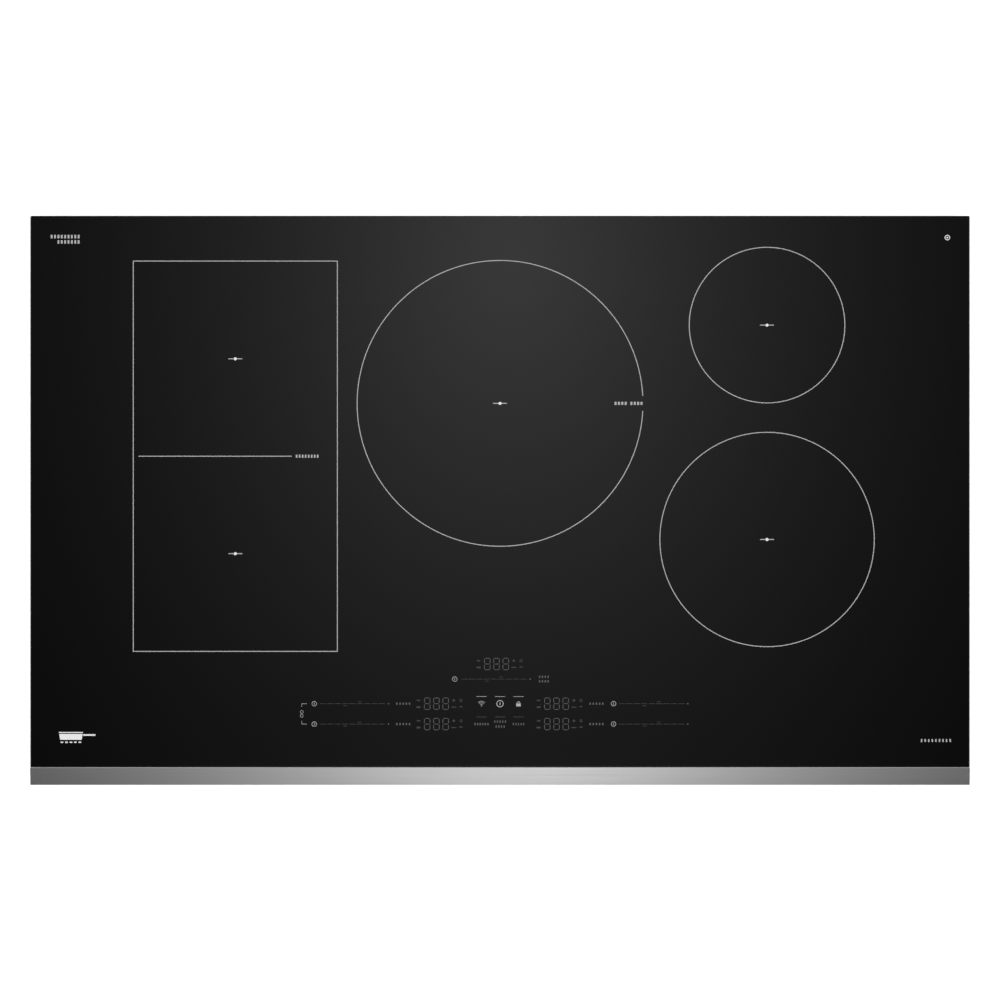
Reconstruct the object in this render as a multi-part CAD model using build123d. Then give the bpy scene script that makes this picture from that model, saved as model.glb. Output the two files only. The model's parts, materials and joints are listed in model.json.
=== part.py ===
from build123d import *
import math
import os

# A five-zone built-in electric induction cooktop, 36 inches wide, in millimetres.
# +X is to the right, +Y to the back and +Z up. The origin is the centre of the
# glass and trim outline, on the worktop surface that the foam gasket lies on.
# Everything under z = 0 hangs in the worktop's cut-out.

os.makedirs("parts", exist_ok=True)

# ---------------------------------------------------------------- driving dimensions
overall_width = 921.0
overall_depth = 558.0
trim_depth = 17.7
trim_step = 0.15                    # how far the trim stands above the glass
glass_thick = 4.0
glass_corner = 1.5                  # rear corners only; the front ones meet the trim square
gasket_thick = 2.0
pan_width = 850.0
pan_depth = 494.0
pan_centre_y = 6.0
pan_floor = -80.0
sheet = 0.8
foot_height = 2.0

# Cooking zones as printed on the glass: centres and sizes.
centre_zone = (0.0, 95.0)
right_rear_zone = (261.7, 171.7)
right_front_zone = (261.7, -38.4)
left_zone_x = -259.4
left_zone_y = 43.2
left_coil_gap = 191.0
left_rear_zone = (left_zone_x, left_zone_y + left_coil_gap / 2)
left_front_zone = (left_zone_x, left_zone_y - left_coil_gap / 2)

# ---------------------------------------------------------------- heights of the stack
glass_bottom = gasket_thick
glass_top_z = glass_bottom + glass_thick
bond_thick = 0.6
frame_sheet = 1.0
frame_top = glass_bottom - bond_thick
frame_bottom = frame_top - frame_sheet
skirt_bottom = -22.0
coil_gap = 0.35                     # air between the coil assemblies and the glass
mica_thick = 0.6
mica_top = glass_bottom - coil_gap
winding_top = mica_top - mica_thick - 0.15
winding_thick = 4.2
former_floor_top = winding_top - winding_thick
former_floor = 1.6
ferrite_thick = 5.0
former_bottom = former_floor_top - former_floor - ferrite_thick - 0.6
tray_sheet = 1.2
tray_bottom = former_bottom - tray_sheet
deck_sheet = 1.2
deck_top = -32.0
deck_bottom = deck_top - deck_sheet
floor_top = pan_floor + sheet
board_thick = 1.6
board_bottom = -73.0
board_top = board_bottom + board_thick

# ---------------------------------------------------------------- plan of the box
glass_front = -overall_depth / 2 + trim_depth + 0.2
glass_back = overall_depth / 2
pan_front = pan_centre_y - pan_depth / 2
pan_back = pan_centre_y + pan_depth / 2
pan_radius = 10.0
module_pitch = 280.0
module_centres = {"left": -module_pitch, "centre": 0.0, "right": module_pitch}
board_width, board_front, board_back = 230.0, -124.0, 98.0
fan_offset, fan_y, fan_size = -60.0, 154.0, 100.0
fan_radius, fan_hub_radius = 38.0, 15.5
heatsink_width, heatsink_front, heatsink_back, heatsink_top = 90.0, -60.0, 95.0, -38.0
ui_width, ui_front, ui_back = 410.0, -234.0, -148.0
ui_floor, ui_board_bottom = -14.0, -8.0
inlet_x, inlet_z, inlet_radius, inlet_sheet = 350.0, -47.0, 11.1, 1.2
clamp_x, clamp_y = 442.0, 6.0
clamp_arm_top, clamp_sheet = -44.0, 2.0
clamp_tip, clamp_length, clamp_radius = -36.0, 38.0, 2.5
screw_radius, screw_head_radius, screw_head = 2.0, 3.8, 2.2
screw_hole = screw_radius + 0.05


# ---------------------------------------------------------------- helpers
def block(x, y, z):
    # A box between two values on each axis.
    low = [min(pair) for pair in (x, y, z)]
    high = [max(pair) for pair in (x, y, z)]
    middle = [(a + b) / 2 for a, b in zip(low, high)]
    return Pos(*middle) * Box(*[b - a for a, b in zip(low, high)])


def rod(x, y, z, radius):
    # An upright cylinder between two heights.
    return Pos(x, y, (z[0] + z[1]) / 2) * Cylinder(radius, abs(z[1] - z[0]))


def plate(x, y, z, radius):
    # A flat plate between two corners and two heights, with rounded corners.
    outline = RectangleRounded(x[1] - x[0], y[1] - y[0], radius)
    return Pos((x[0] + x[1]) / 2, (y[0] + y[1]) / 2, z[0]) * extrude(outline, z[1] - z[0])


def frame_ring(inset, width, z, radius):
    # A flat ring that follows the pan's outline, inset from its outer face.
    half = pan_width / 2 - inset
    front, back = pan_front + inset, pan_back - inset
    outer = plate((-half, half), (front, back), z, radius)
    inner_radius = max(radius - width, 1.0)
    inner = plate((-half + width, half - width), (front + width, back - width), z, inner_radius)
    return outer - inner


def save(name, shape):
    # A group of separate pieces is written as one compound.
    if isinstance(shape, (list, tuple)):
        solids = [solid for one in shape for solid in one.solids()]
        shape = Compound(children=solids) if len(solids) > 1 else solids[0]
    export_step(shape, f"parts/{name}.step")


def screw(place, length):
    # A pan-head screw along +Z of its place: the head's seat is at its origin.
    head = Pos(0, 0, screw_head / 2) * Cylinder(screw_head_radius, screw_head)
    head = fillet(head.edges().sort_by(Axis.Z)[-1], 1.0)
    cross = Box(4.4, 0.9, 2.2) + Box(0.9, 4.4, 2.2)
    head -= Pos(0, 0, screw_head) * cross
    return place * (head + Pos(0, 0, -length / 2) * Cylinder(screw_radius, length))


# ---------------------------------------------------------------- glass, trim and frame
def glass_top():
    half = overall_width / 2
    glass = block((-half, half), (glass_front, glass_back), (glass_bottom, glass_top_z))
    glass = fillet(glass.edges().filter_by(Axis.Z).sort_by(Axis.Y)[-2:], glass_corner)
    glass = chamfer(glass.faces().sort_by(Axis.Z)[-1].edges(), 0.8)
    return chamfer(glass.faces().sort_by(Axis.Z)[0].edges(), 0.4)


def front_trim():
    # A folded stainless strip: sloping top, front lip, closed ends, and a flange under the glass.
    back, front = -overall_depth / 2 + trim_depth, -overall_depth / 2
    lip_bottom, slope, wall = 0.6, 1.0, 1.0
    bevel, nose = 0.8, 1.4
    top = glass_top_z + trim_step
    with BuildSketch(Plane.YZ) as outer:
        with BuildLine():
            Polyline(
                (back, lip_bottom),
                (back, top - bevel),
                (back - bevel, top),
                (front, top - slope),
                (front, lip_bottom),
                close=True,
            )
        make_face()
        corner = outer.vertices().sort_by(Axis.Y)[:2].sort_by(Axis.Z)[-1]
        fillet(corner, nose)
    shell = extrude(outer.sketch, overall_width / 2, both=True)
    with BuildSketch(Plane.YZ) as inner:
        with BuildLine():
            Polyline(
                (back - wall, lip_bottom - 1),
                (back - wall, top - bevel - wall),
                (front + wall, top - slope - wall),
                (front + wall, lip_bottom - 1),
                close=True,
            )
        make_face()
    shell -= extrude(inner.sketch, overall_width / 2 - wall, both=True)
    half = overall_width / 2 - 6
    flange = block((-half, half), (back - wall, back + 6), (glass_bottom - 0.8, glass_bottom))
    return shell + flange


gasket_front, gasket_back = glass_front + 6.4, glass_back - 4.5
gasket_half, gasket_width = overall_width / 2 - 4, 8.0


def counter_gasket():
    x, w = gasket_half, gasket_width
    outer = plate((-x, x), (gasket_front, gasket_back), (0, gasket_thick), 6)
    inner = plate((-x + w, x - w), (gasket_front + w, gasket_back - w), (0, gasket_thick), 2)
    return outer - inner


frame_reach = 2.0                   # how far the frame's flange covers the pan's edge
flange_width = 8.5
skirt_gap = 0.2
side_screw_y = (-150.0, 165.0)
wall_screw_x = (-300.0, -100.0, 100.0, 300.0)
wall_screw_z = -12.0


def wall_screw_places():
    # Where screws go through the pan's walls into the frame's skirt, each pointing inwards.
    places = []
    for x in wall_screw_x:
        places.append(Location((x, pan_front, wall_screw_z), (90, 0, 0)))
        places.append(Location((x, pan_back, wall_screw_z), (-90, 0, 0)))
    for y in side_screw_y:
        places.append(Location((-pan_width / 2, y, wall_screw_z), (0, -90, 0)))
        places.append(Location((pan_width / 2, y, wall_screw_z), (0, 90, 0)))
    return places


def bore_all(places, radius, depth=6.0):
    # Drills along each place, both ways from its seat.
    return [place * Cylinder(radius, depth) for place in places]


def glass_frame():
    flange = frame_ring(-frame_reach, flange_width, (frame_bottom, frame_top), pan_radius)
    inset = sheet + skirt_gap
    skirt = frame_ring(inset, frame_sheet, (skirt_bottom, frame_bottom), pan_radius - inset)
    return flange + skirt - bore_all(wall_screw_places(), screw_hole)


def glass_bond():
    return frame_ring(0.0, 5.0, (frame_top, glass_bottom), pan_radius)


# ---------------------------------------------------------------- burner box
slot_width = 3.2
deck_leg_x = (-405.0, -140.0, 140.0, 405.0)
deck_front, deck_back, deck_half = -136.0, 246.0, 416.0
deck_foot = 14.0
foot_x, foot_y = (-380.0, 0.0, 380.0), (-205.0, 215.0)


def slot_through(place, length):
    # A cutter for one ventilation slot, along X of its place.
    return place * extrude(SlotOverall(length, slot_width), 8, both=True)


def fan_centre(name):
    return module_centres[name] + fan_offset, fan_y


def inlet_slots():
    # Under each fan: three rows of slots in the pan's floor.
    rows, columns, row_pitch, pitch, length = 3, 11, 27.0, 6.8, 23.0
    cutters = []
    for name in module_centres:
        x, y = fan_centre(name)
        for row in range(rows):
            for column in range(columns):
                dx = (column - (columns - 1) / 2) * pitch
                dy = (row - (rows - 1) / 2) * row_pitch
                place = Location((x + dx, y + dy, pan_floor), (0, 0, 90))
                cutters.append(slot_through(place, length))
    return cutters


def exhaust_slots():
    # Upright slots in the front wall before each board, and in both side walls.
    pitch, length, middle = 8.0, 30.0, -56.0
    cutters = []
    for x in module_centres.values():
        for column in range(18):
            dx = (column - 8.5) * pitch
            place = Location((x + dx, pan_front, middle), (90, 0, 0)) * Rot(Z=90)
            cutters.append(slot_through(place, length))
    for side in (-1, 1):
        for column in range(10):
            dy = (column - 4.5) * pitch
            place = Location((side * pan_width / 2, 150 + dy, middle), (0, 90, 0))
            cutters.append(slot_through(place, length))
    return cutters


def deck_screw_places():
    # One screw down through each foot of the coil deck.
    places = []
    for x in deck_leg_x:
        for y in (deck_front - deck_foot / 2, deck_back - deck_foot / 2):
            places.append(Location((x, y, floor_top + deck_sheet)))
    return places


def bracket_screw_places():
    places = []
    for side in (-1, 1):
        for y in (clamp_y - 20, clamp_y + 20):
            at = (side * (pan_width / 2 + clamp_sheet), y, -32)
            places.append(Location(at, (0, side * 90, 0)))
    return places


def inlet_screw_places():
    at_y = pan_back + inlet_sheet
    return [Location((inlet_x + dx, at_y, inlet_z), (-90, 0, 0)) for dx in (-38, 38)]


bead_length, bead_width, bead_depth = 200.0, 10.0, 1.2
bead_y = (-180.0, -128.0, -76.0, -24.0, 28.0, 80.0)


def beads(top, shrink):
    # Stiffening beads pressed into the pan's floor, under each board.
    outline = SlotOverall(bead_length - 2 * shrink, bead_width - 2 * shrink)
    bead = Rot(X=180) * extrude(outline, bead_depth, taper=30)
    return [Pos(x, y, top) * bead for x in module_centres.values() for y in bead_y]


def base_pan():
    half, wall_top = pan_width / 2, frame_bottom - 0.1
    outer = plate((-half, half), (pan_front, pan_back), (pan_floor, wall_top), pan_radius)
    outer = fillet(outer.faces().sort_by(Axis.Z)[0].edges(), 3.0)
    inner = plate(
        (-half + sheet, half - sheet),
        (pan_front + sheet, pan_back - sheet),
        (floor_top, wall_top),
        pan_radius - sheet,
    )
    pan = outer - fillet(inner.faces().sort_by(Axis.Z)[0].edges(), 3.0 - sheet)
    for x in foot_x:
        for y in foot_y:
            pan += Pos(x, y, pan_floor - foot_height / 2) * Cone(11, 15, foot_height)
            pan -= Pos(x, y, floor_top - foot_height / 2) * Cone(10.2, 14.2, foot_height)
    pan = pan + beads(pan_floor, 0.0) - beads(floor_top, sheet)
    screws = wall_screw_places() + deck_screw_places()
    screws += bracket_screw_places() + inlet_screw_places()
    pan -= bore_all(screws, screw_hole, 8.0)
    opening = block((inlet_x - 32, inlet_x + 32), (pan_back - 3, pan_back + 3), (-67, -28))
    return pan - opening - inlet_slots() - exhaust_slots()


def inlet_plate():
    # The removable plate with the knock-out for the supply conduit.
    width, bottom, top = 46.0, -72.0, -22.0
    back = pan_back + inlet_sheet
    cover = block((inlet_x - width, inlet_x + width), (pan_back, back), (bottom, top))
    cover = fillet(cover.edges().filter_by(Axis.Y), 4)
    cover -= Location((inlet_x, pan_back, inlet_z), (90, 0, 0)) * Cylinder(inlet_radius, 8)
    return cover - bore_all(inlet_screw_places(), screw_hole)


poles, pole_pitch = 3, 22.0


def terminal_block():
    # A three-pole block on the pan's floor, with a wire mouth and a screw well for each pole.
    front, back, top = 206.0, 232.0, -54.0
    body = block((inlet_x - 36, inlet_x + 36), (front, back), (floor_top, top))
    body = chamfer(body.faces().sort_by(Axis.Z)[-1].edges().filter_by(Axis.X), 3)
    for pole in range(poles):
        x = inlet_x + (pole - 1) * pole_pitch
        body -= block((x - 7, x + 7), (back - 8, back + 1), (-72, -60))
        body -= rod(x, (front + back) / 2, (-62, top + 1), 4.5)
        body -= block((x - 4.5, x + 4.5), (front - 1, front + 6), (-72, -62))
    return body


# ---------------------------------------------------------------- worktop clamps
def clamp_bracket(side):
    # An angle on the box's side whose arm reaches under the worktop and holds a nut.
    wall, reach = side * pan_width / 2, side * (overall_width / 2 - 2)
    wide, narrow = 30.0, 12.0
    arm_z = (clamp_arm_top - clamp_sheet, clamp_arm_top)
    upright = block((wall, wall + side * clamp_sheet), (clamp_y - wide, clamp_y + wide), (arm_z[0], -18))
    arm = block((wall, reach), (clamp_y - wide, clamp_y + wide), arm_z)
    tip = arm.edges().filter_by(Axis.Z).sort_by(Axis.X)
    arm = chamfer(tip[:2] if side < 0 else tip[-2:], wide - narrow)
    nut = Pos(side * clamp_x, clamp_y, clamp_arm_top) * extrude(RegularPolygon(4.6, 6), 4)
    hole = rod(side * clamp_x, clamp_y, (-60, -30), clamp_radius + 0.05)
    return upright + arm + nut - hole - bore_all(bracket_screw_places(), screw_hole)


def clamp_screw(side):
    # The screw that bears on the underside of the worktop. It travels along Z in its nut.
    x, shank_bottom = side * clamp_x, clamp_tip - clamp_length
    shank = rod(x, clamp_y, (shank_bottom, clamp_tip), clamp_radius)
    shank = chamfer(shank.edges().sort_by(Axis.Z)[-1], 0.5)
    head = Pos(x, clamp_y, shank_bottom - 4) * extrude(RegularPolygon(5, 6), 4)
    slot = block((x - 6, x + 6), (clamp_y - 0.6, clamp_y + 0.6), (shank_bottom - 5, shank_bottom - 2.4))
    return shank + head - slot


# ---------------------------------------------------------------- coil trays on springs
pin_radius, pin_hole, pin_head = 2.5, 3.1, 5.0
spring_radius, spring_wire, spring_turns = 5.2, 1.1, 5
lead_radius = 2.0
trays = {
    "left": {
        "x": (-357.4, -161.4), "y": (-145.0, 231.4), "pin": (88.0, 178.0),
        "leads": [(-246.0, 43.2), (-236.0, 43.2), (-222.0, 43.2), (-212.0, 43.2)],
    },
    "centre": {
        "x": (-137.0, 137.0), "y": (-52.0, 232.0), "pin": (124.0, 128.0),
        "leads": [(2.0, -44.0), (12.0, -44.0), (26.0, -44.0), (36.0, -44.0)],
    },
    "right": {
        "x": (160.7, 362.7), "y": (-142.0, 243.0), "pin": (92.0, 182.0),
        "leads": [(284.0, 81.0), (294.0, 81.0), (308.0, 81.0), (318.0, 81.0)],
    },
}
coils = {
    "left_rear": {"tray": "left", "at": left_rear_zone, "size": (181.0, 175.0, 58.0)},
    "left_front": {"tray": "left", "at": left_front_zone, "size": (181.0, 175.0, 58.0)},
    "centre": {"tray": "centre", "at": centre_zone, "radius": 132.0},
    "right_rear": {"tray": "right", "at": right_rear_zone, "radius": 69.0},
    "right_front": {"tray": "right", "at": right_front_zone, "radius": 98.0},
}
hub_radius, hub_hole, rim = 14.0, 12.0, 1.5
coil_bore = 22.0                    # the windings' inner radius
ring_split = (66.0, 78.0)           # the centre coil's inner winding ends, its outer one starts


def pin_places(tray):
    spec = trays[tray]
    middle = (sum(spec["x"]) / 2, sum(spec["y"]) / 2)
    dx, dy = spec["pin"]
    return [(middle[0] + i * dx, middle[1] + j * dy) for i in (-1, 1) for j in (-1, 1)]


def coil_outline(coil, grow=0.0):
    # The winding's outer edge, grown or shrunk, about the coil's own centre.
    spec = coils[coil]
    if "radius" in spec:
        return Circle(spec["radius"] + grow)
    width, depth, corner = spec["size"]
    return RectangleRounded(width + 2 * grow, depth + 2 * grow, corner + grow)


def coil_disc(coil, grow, z):
    return Pos(*coils[coil]["at"], z[0]) * extrude(coil_outline(coil, grow), z[1] - z[0])


def coils_of(tray):
    return [name for name, spec in coils.items() if spec["tray"] == tray]


def coil_tray(tray):
    # An aluminium sheet that slides on four pins and carries one or two coils.
    spec, z = trays[tray], (tray_bottom, tray_bottom + tray_sheet)
    sheet_metal = plate(spec["x"], spec["y"], z, 10)
    for x, y in pin_places(tray):
        sheet_metal -= rod(x, y, (z[0] - 1, z[1] + 1), pin_hole)
    for coil in coils_of(tray):
        sheet_metal -= rod(*coils[coil]["at"], (z[0] - 1, z[1] + 1), 4.0)
    for x, y in spec["leads"]:
        sheet_metal -= rod(x, y, (z[0] - 1, z[1] + 1), lead_radius + 1.5)
    return sheet_metal


def winding(coil, inner=None, outer=None):
    # The flat spiral of litz wire, as the closed band that it fills.
    at, z = coils[coil]["at"], (former_floor_top, winding_top)
    band = rod(*at, z, outer) if outer else coil_disc(coil, 0.0, z)
    return band - rod(*at, z, inner or coil_bore)


def bar_spans(coil):
    # Start and end radius of each row of ferrite bars under a coil.
    spec = coils[coil]
    reach = spec["radius"] if "radius" in spec else spec["size"][1] / 2
    if reach > 120:
        return [(20.0, 70.0), (74.0, reach - 3.0)]
    return [(20.0, reach - 4.0)]


bar_count, bar_width = 8, 12.0


def bar_places(coil):
    x, y = coils[coil]["at"]
    return [Location((x, y, 0), (0, 0, 22.5 + i * 360 / bar_count)) for i in range(bar_count)]


def former(coil):
    # The plastic body that holds one coil: floor, rim, hub and walls round each ferrite bar.
    at = coils[coil]["at"]
    floor_z = (former_floor_top - former_floor, former_floor_top)
    body = coil_disc(coil, rim, floor_z)
    body += coil_disc(coil, rim, (former_bottom, winding_top)) - coil_disc(coil, 0.0, (former_bottom, winding_top))
    body += rod(*at, (former_bottom, winding_top), hub_radius)
    span = (bar_spans(coil)[0][0] - 1.2, bar_spans(coil)[-1][1] + 1.2)
    half = bar_width / 2 + 1.3
    channels = [place * block(span, (-half, half), (former_bottom, floor_z[0])) for place in bar_places(coil)]
    body += channels
    for start, end in bar_spans(coil):
        room = block((start - 0.1, end + 0.1), (-bar_width / 2 - 0.1, bar_width / 2 + 0.1), (former_bottom, floor_z[0]))
        body -= [place * room for place in bar_places(coil)]
    return body - rod(*at, (former_bottom - 1, winding_top + 1), hub_hole)


def ferrites(coil):
    bars = []
    z = (former_bottom + 0.3, former_bottom + 0.3 + ferrite_thick)
    for start, end in bar_spans(coil):
        bar = block((start, end), (-bar_width / 2, bar_width / 2), z)
        bars += [place * bar for place in bar_places(coil)]
    return bars


def mica(coil):
    z = (mica_top - mica_thick, mica_top)
    return coil_disc(coil, 0.8, z) - rod(*coils[coil]["at"], z, 8.0)


def sensor(coil):
    # A temperature probe in a silicone foot, held up against the glass at the coil's centre.
    at = coils[coil]["at"]
    foot = rod(*at, (former_bottom, former_bottom + 4), hub_hole - 0.3)
    stem = rod(*at, (former_bottom + 4, mica_top), 5.0)
    return foot + fillet(stem.edges().sort_by(Axis.Z)[-1], 1.2)


def spring(x, y):
    # A compression spring round a guide pin, from the deck up to the tray.
    wire = spring_wire / 2
    bottom, top = deck_top + wire + 0.05, tray_bottom - wire - 0.05
    rise = top - bottom
    path = Helix(pitch=rise / spring_turns, height=rise, radius=spring_radius)
    section = Plane(origin=path @ 0, z_dir=path % 0) * Circle(wire)
    return Pos(x, y, bottom) * sweep(section, path=path, is_frenet=True)


def coil_leads(tray):
    # Two insulated tails for each winding, down through the deck to the board's terminals.
    drop, step = deck_bottom - 12, (10.0, -14.0)
    start, end = winding_top - 1.0, board_top
    leads = []
    for x, y in trays[tray]["leads"]:
        points = [
            (x, y, start),
            (x, y, drop),
            (x + step[0], y + step[1], drop - 12),
            (x + step[0], y + step[1], end),
        ]
        path = FilletPolyline(*points, radius=6)
        leads.append(sweep(Plane(origin=points[0], z_dir=(0, 0, -1)) * Circle(lead_radius), path=path))
    return leads


def guide_pins():
    # Shoulder rivets in the deck. Their heads stop the trays when the glass is off.
    pins = []
    for tray in trays:
        for x, y in pin_places(tray):
            pin = rod(x, y, (deck_bottom, tray_bottom + tray_sheet + 6), pin_radius)
            pin += rod(x, y, (tray_bottom + tray_sheet + 6, tray_bottom + tray_sheet + 7.2), pin_head)
            pins.append(pin + rod(x, y, (deck_bottom - 1, deck_bottom), pin_radius + 1.5))
    return pins


def coil_deck():
    # The aluminium bridge over the electronics, on folded legs.
    z = (deck_bottom, deck_top)
    deck = plate((-deck_half, deck_half), (deck_front, deck_back), z, 6)
    half_leg = 12.0
    for x in deck_leg_x:
        across = (x - half_leg, x + half_leg)
        legs = [
            ((deck_front, deck_front + deck_sheet), (deck_front - deck_foot, deck_front + deck_sheet)),
            ((deck_back - deck_sheet, deck_back), (deck_back - deck_foot, deck_back)),
        ]
        for upright_y, foot_span in legs:
            deck += block(across, upright_y, (floor_top, deck_top))
            deck += block(across, foot_span, (floor_top, floor_top + deck_sheet))
    for tray, spec in trays.items():
        for x, y in pin_places(tray):
            deck -= rod(x, y, (z[0] - 1, z[1] + 1), pin_radius + 0.02)
        xs = [x for x, _ in spec["leads"]]
        y = spec["leads"][0][1]
        deck -= plate((min(xs) - 6, max(xs) + 6), (y - 6, y + 6), (z[0] - 1, z[1] + 1), 5)
    for coil, spec in coils.items():
        deck -= rod(*spec["at"], (z[0] - 1, z[1] + 1), 30.0)
    return deck - bore_all(deck_screw_places(), screw_hole)


# ---------------------------------------------------------------- power electronics
def board_carrier(x, y):
    # A plastic tray with a low rim and posts that hold a circuit board.
    rim_top, wall, clearance = board_top + 2.0, 1.5, 0.5
    outer_x, outer_y = (x[0] - 2, x[1] + 2), (y[0] - 2, y[1] + 2)
    carrier = block(outer_x, outer_y, (floor_top, rim_top))
    inside_x = (x[0] - clearance, x[1] + clearance)
    inside_y = (y[0] - clearance, y[1] + clearance)
    carrier -= block(inside_x, inside_y, (floor_top + wall, rim_top))
    for px in (x[0] + 6, x[1] - 6):
        for py in (y[0] + 6, y[1] - 6):
            carrier += rod(px, py, (floor_top + wall, board_bottom), 3.5)
    return carrier


def board(x, y):
    panel = block(x, y, (board_bottom, board_top))
    for px in (x[0] + 6, x[1] - 6):
        for py in (y[0] + 6, y[1] - 6):
            panel -= rod(px, py, (board_bottom - 1, board_top + 1), 1.6)
    return panel


def board_span(name):
    x = module_centres[name]
    return (x - board_width / 2, x + board_width / 2), (board_front, board_back)


filter_span = ((298.0, 408.0), (112.0, 192.0))


def heatsink(name):
    # An extruded aluminium block of fins, in line with the fan's outlet.
    x = module_centres[name] + fan_offset
    left, right = x - heatsink_width / 2, x + heatsink_width / 2
    base, fin, count = 6.0, 1.8, 13
    sink = block((left, right), (heatsink_front, heatsink_back), (board_top, board_top + base))
    pitch = (heatsink_width - fin) / (count - 1)
    for i in range(count):
        at = left + i * pitch
        sink += block((at, at + fin), (heatsink_front, heatsink_back), (board_top + base, heatsink_top))
    return sink


def transistors(name):
    # Four switches and a bridge rectifier, clipped flat to the heatsink's side.
    face = module_centres[name] + fan_offset + heatsink_width / 2
    cases = []
    for i, width in enumerate((16.0, 16.0, 16.0, 16.0, 24.0)):
        y = heatsink_front + 16 + i * 28
        case = block((face, face + 5), (y - width / 2, y + width / 2), (board_top + 4, board_top + 25))
        legs = [block((face + 2, face + 2.8), (y + dy - 0.6, y + dy + 0.6), (board_top, board_top + 4)) for dy in (-5, 0, 5)]
        cases.append(case + legs)
    return cases


def capacitors(name):
    # Film capacitors along the board's front edge, and one beside the rectifier.
    x = module_centres[name]
    boxes = [block((x + at - 15, x + at + 15), (-116, -96), (board_top, board_top + 26)) for at in (-90, -54, -18, 18)]
    boxes.append(block((x + 72, x + 102), (40, 84), (board_top, board_top + 30)))
    return [fillet(one.edges().filter_by(Axis.Z), 1.5) for one in boxes]


def chokes(name):
    # Upright toroids on the right of the board.
    x = module_centres[name] + 86
    rings = []
    for y in (-96, -50):
        ring = rod(x, y, (board_top, board_top + 18), 19)
        rings.append(fillet(ring.edges(), 3) - rod(x, y, (board_top - 1, board_top + 19), 7))
    return rings


# ---------------------------------------------------------------- cooling fans
fan_top = -41.0
rotor_top = -47.0
cup_top, cup_bottom = -47.0, -61.0
blade_bottom = -71.0
shaft_radius, running_gap = 1.5, 0.05


def fan_housing(name):
    # A square blower case: inlet below, outlet facing the heatsink, motor seat above.
    x, y = fan_centre(name)
    half, wall = fan_size / 2, 2.0
    case = block((x - half, x + half), (y - half, y + half), (floor_top, fan_top))
    case = fillet(case.edges().filter_by(Axis.Z).sort_by(Axis.Y)[-2:], 30)
    cavity = (floor_top + wall, fan_top - wall)
    case -= rod(x, y, cavity, half - wall - 2)
    case -= block((x - half + wall + 2, x + half - wall - 2), (y - half - 1, y), cavity)
    case -= rod(x, y, (floor_top - 1, floor_top + wall + 1), 31.0)
    return case


def fan_stator(name):
    # The motor's core, fixed under the case's roof, with a bore for the shaft.
    x, y = fan_centre(name)
    bore = shaft_radius + running_gap
    core = rod(x, y, (cup_bottom + 4.0, fan_top - 5), 12.0)
    seat = rod(x, y, (fan_top - 5, fan_top - 2), 16.0)
    return core + seat - rod(x, y, (cup_bottom, fan_top), bore)


def fan_rotor(name):
    # The blower wheel: a cup round the motor, a top plate, forward blades, a lower ring and the shaft.
    x, y = fan_centre(name)
    wall, blades, blade_length = 1.5, 28, 10.0
    cup = rod(0, 0, (cup_bottom, cup_top), fan_hub_radius)
    cup -= rod(0, 0, (cup_bottom + wall, cup_top), fan_hub_radius - wall)
    disc = rod(0, 0, (rotor_top - wall, rotor_top), fan_radius)
    disc -= rod(0, 0, (rotor_top - wall, rotor_top), fan_hub_radius - wall)
    ring = rod(0, 0, (blade_bottom - wall, blade_bottom), fan_radius)
    ring -= rod(0, 0, (blade_bottom - wall, blade_bottom), fan_radius - blade_length)
    wheel = cup + disc + ring + rod(0, 0, (cup_bottom, cup_top + 1), shaft_radius)
    blade = Pos(fan_radius - blade_length / 2 - 0.6, 0, (blade_bottom + rotor_top - wall) / 2)
    blade = blade * Rot(Z=35) * Box(blade_length, 1.0, rotor_top - wall - blade_bottom + 0.4)
    wheel += [Rot(Z=i * 360 / blades) * blade for i in range(blades)]
    return Pos(x, y, 0) * wheel


# ---------------------------------------------------------------- wiring
def tube(points, radius, bend):
    path = FilletPolyline(*points, radius=bend)
    return sweep(Plane(origin=points[0], z_dir=path % 0) * Circle(radius), path=path)


def mains_leads():
    # Supply wires: terminal block to filter board, and filter board to the far power boards.
    run_z, back_run = board_top + 10, 222.0
    leads = []
    for pole in range(poles):
        x = inlet_x + (pole - 1) * pole_pitch
        leads.append(tube([(x, 209, -67), (x, 186, -67), (x, 186, board_top)], 2.0, 2.4))
    for i, name in enumerate(("centre", "left")):
        gap_x = module_centres[name] + module_pitch / 2
        lane = back_run - i * 6
        start = 302 + i * 6
        entry = gap_x - 34
        points = [
            (start, 186, board_top),
            (start, 186, run_z),
            (start, lane, run_z),
            (gap_x, lane, run_z),
            (gap_x, 20, run_z),
            (entry, 20, run_z),
            (entry, 20, board_top),
        ]
        leads.append(tube(points, 2.2, 5))
    return leads


ribbon_x, ribbon_y, ribbon_width, ribbon_thick = 52.0, -156.0, 14.0, 1.2


def ui_ribbon():
    # The flat cable from the touch board down to the middle power board.
    board_y, turn_z = -110.0, -48.0
    points = [
        (ribbon_x, ribbon_y, ui_board_bottom),
        (ribbon_x, ribbon_y, turn_z),
        (ribbon_x, board_y, turn_z),
        (ribbon_x, board_y, board_top),
    ]
    path = FilletPolyline(*points, radius=6)
    start = Plane(origin=points[0], x_dir=(1, 0, 0), z_dir=(0, 0, -1))
    return sweep(start * Rectangle(ribbon_width, ribbon_thick), path=path)


# ---------------------------------------------------------------- touch controls
display_places = [(0.0, -160.4), (-62.6, -199.6), (-62.6, -219.2), (58.6, -199.6), (58.6, -219.2)]
key_rows = {
    -175.8: (-43.9,),
    -199.6: (-182.5, -94.6, -18.1, 0.0, 18.1, 95.2, 111.6),
    -219.2: (-182.5, -94.6, -18.1, 0.0, 18.1, 95.2, 111.6),
}
slider_starts = {-175.8: (-28.0,), -199.6: (-168.0, 126.0), -219.2: (-168.0, 126.0)}


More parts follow.
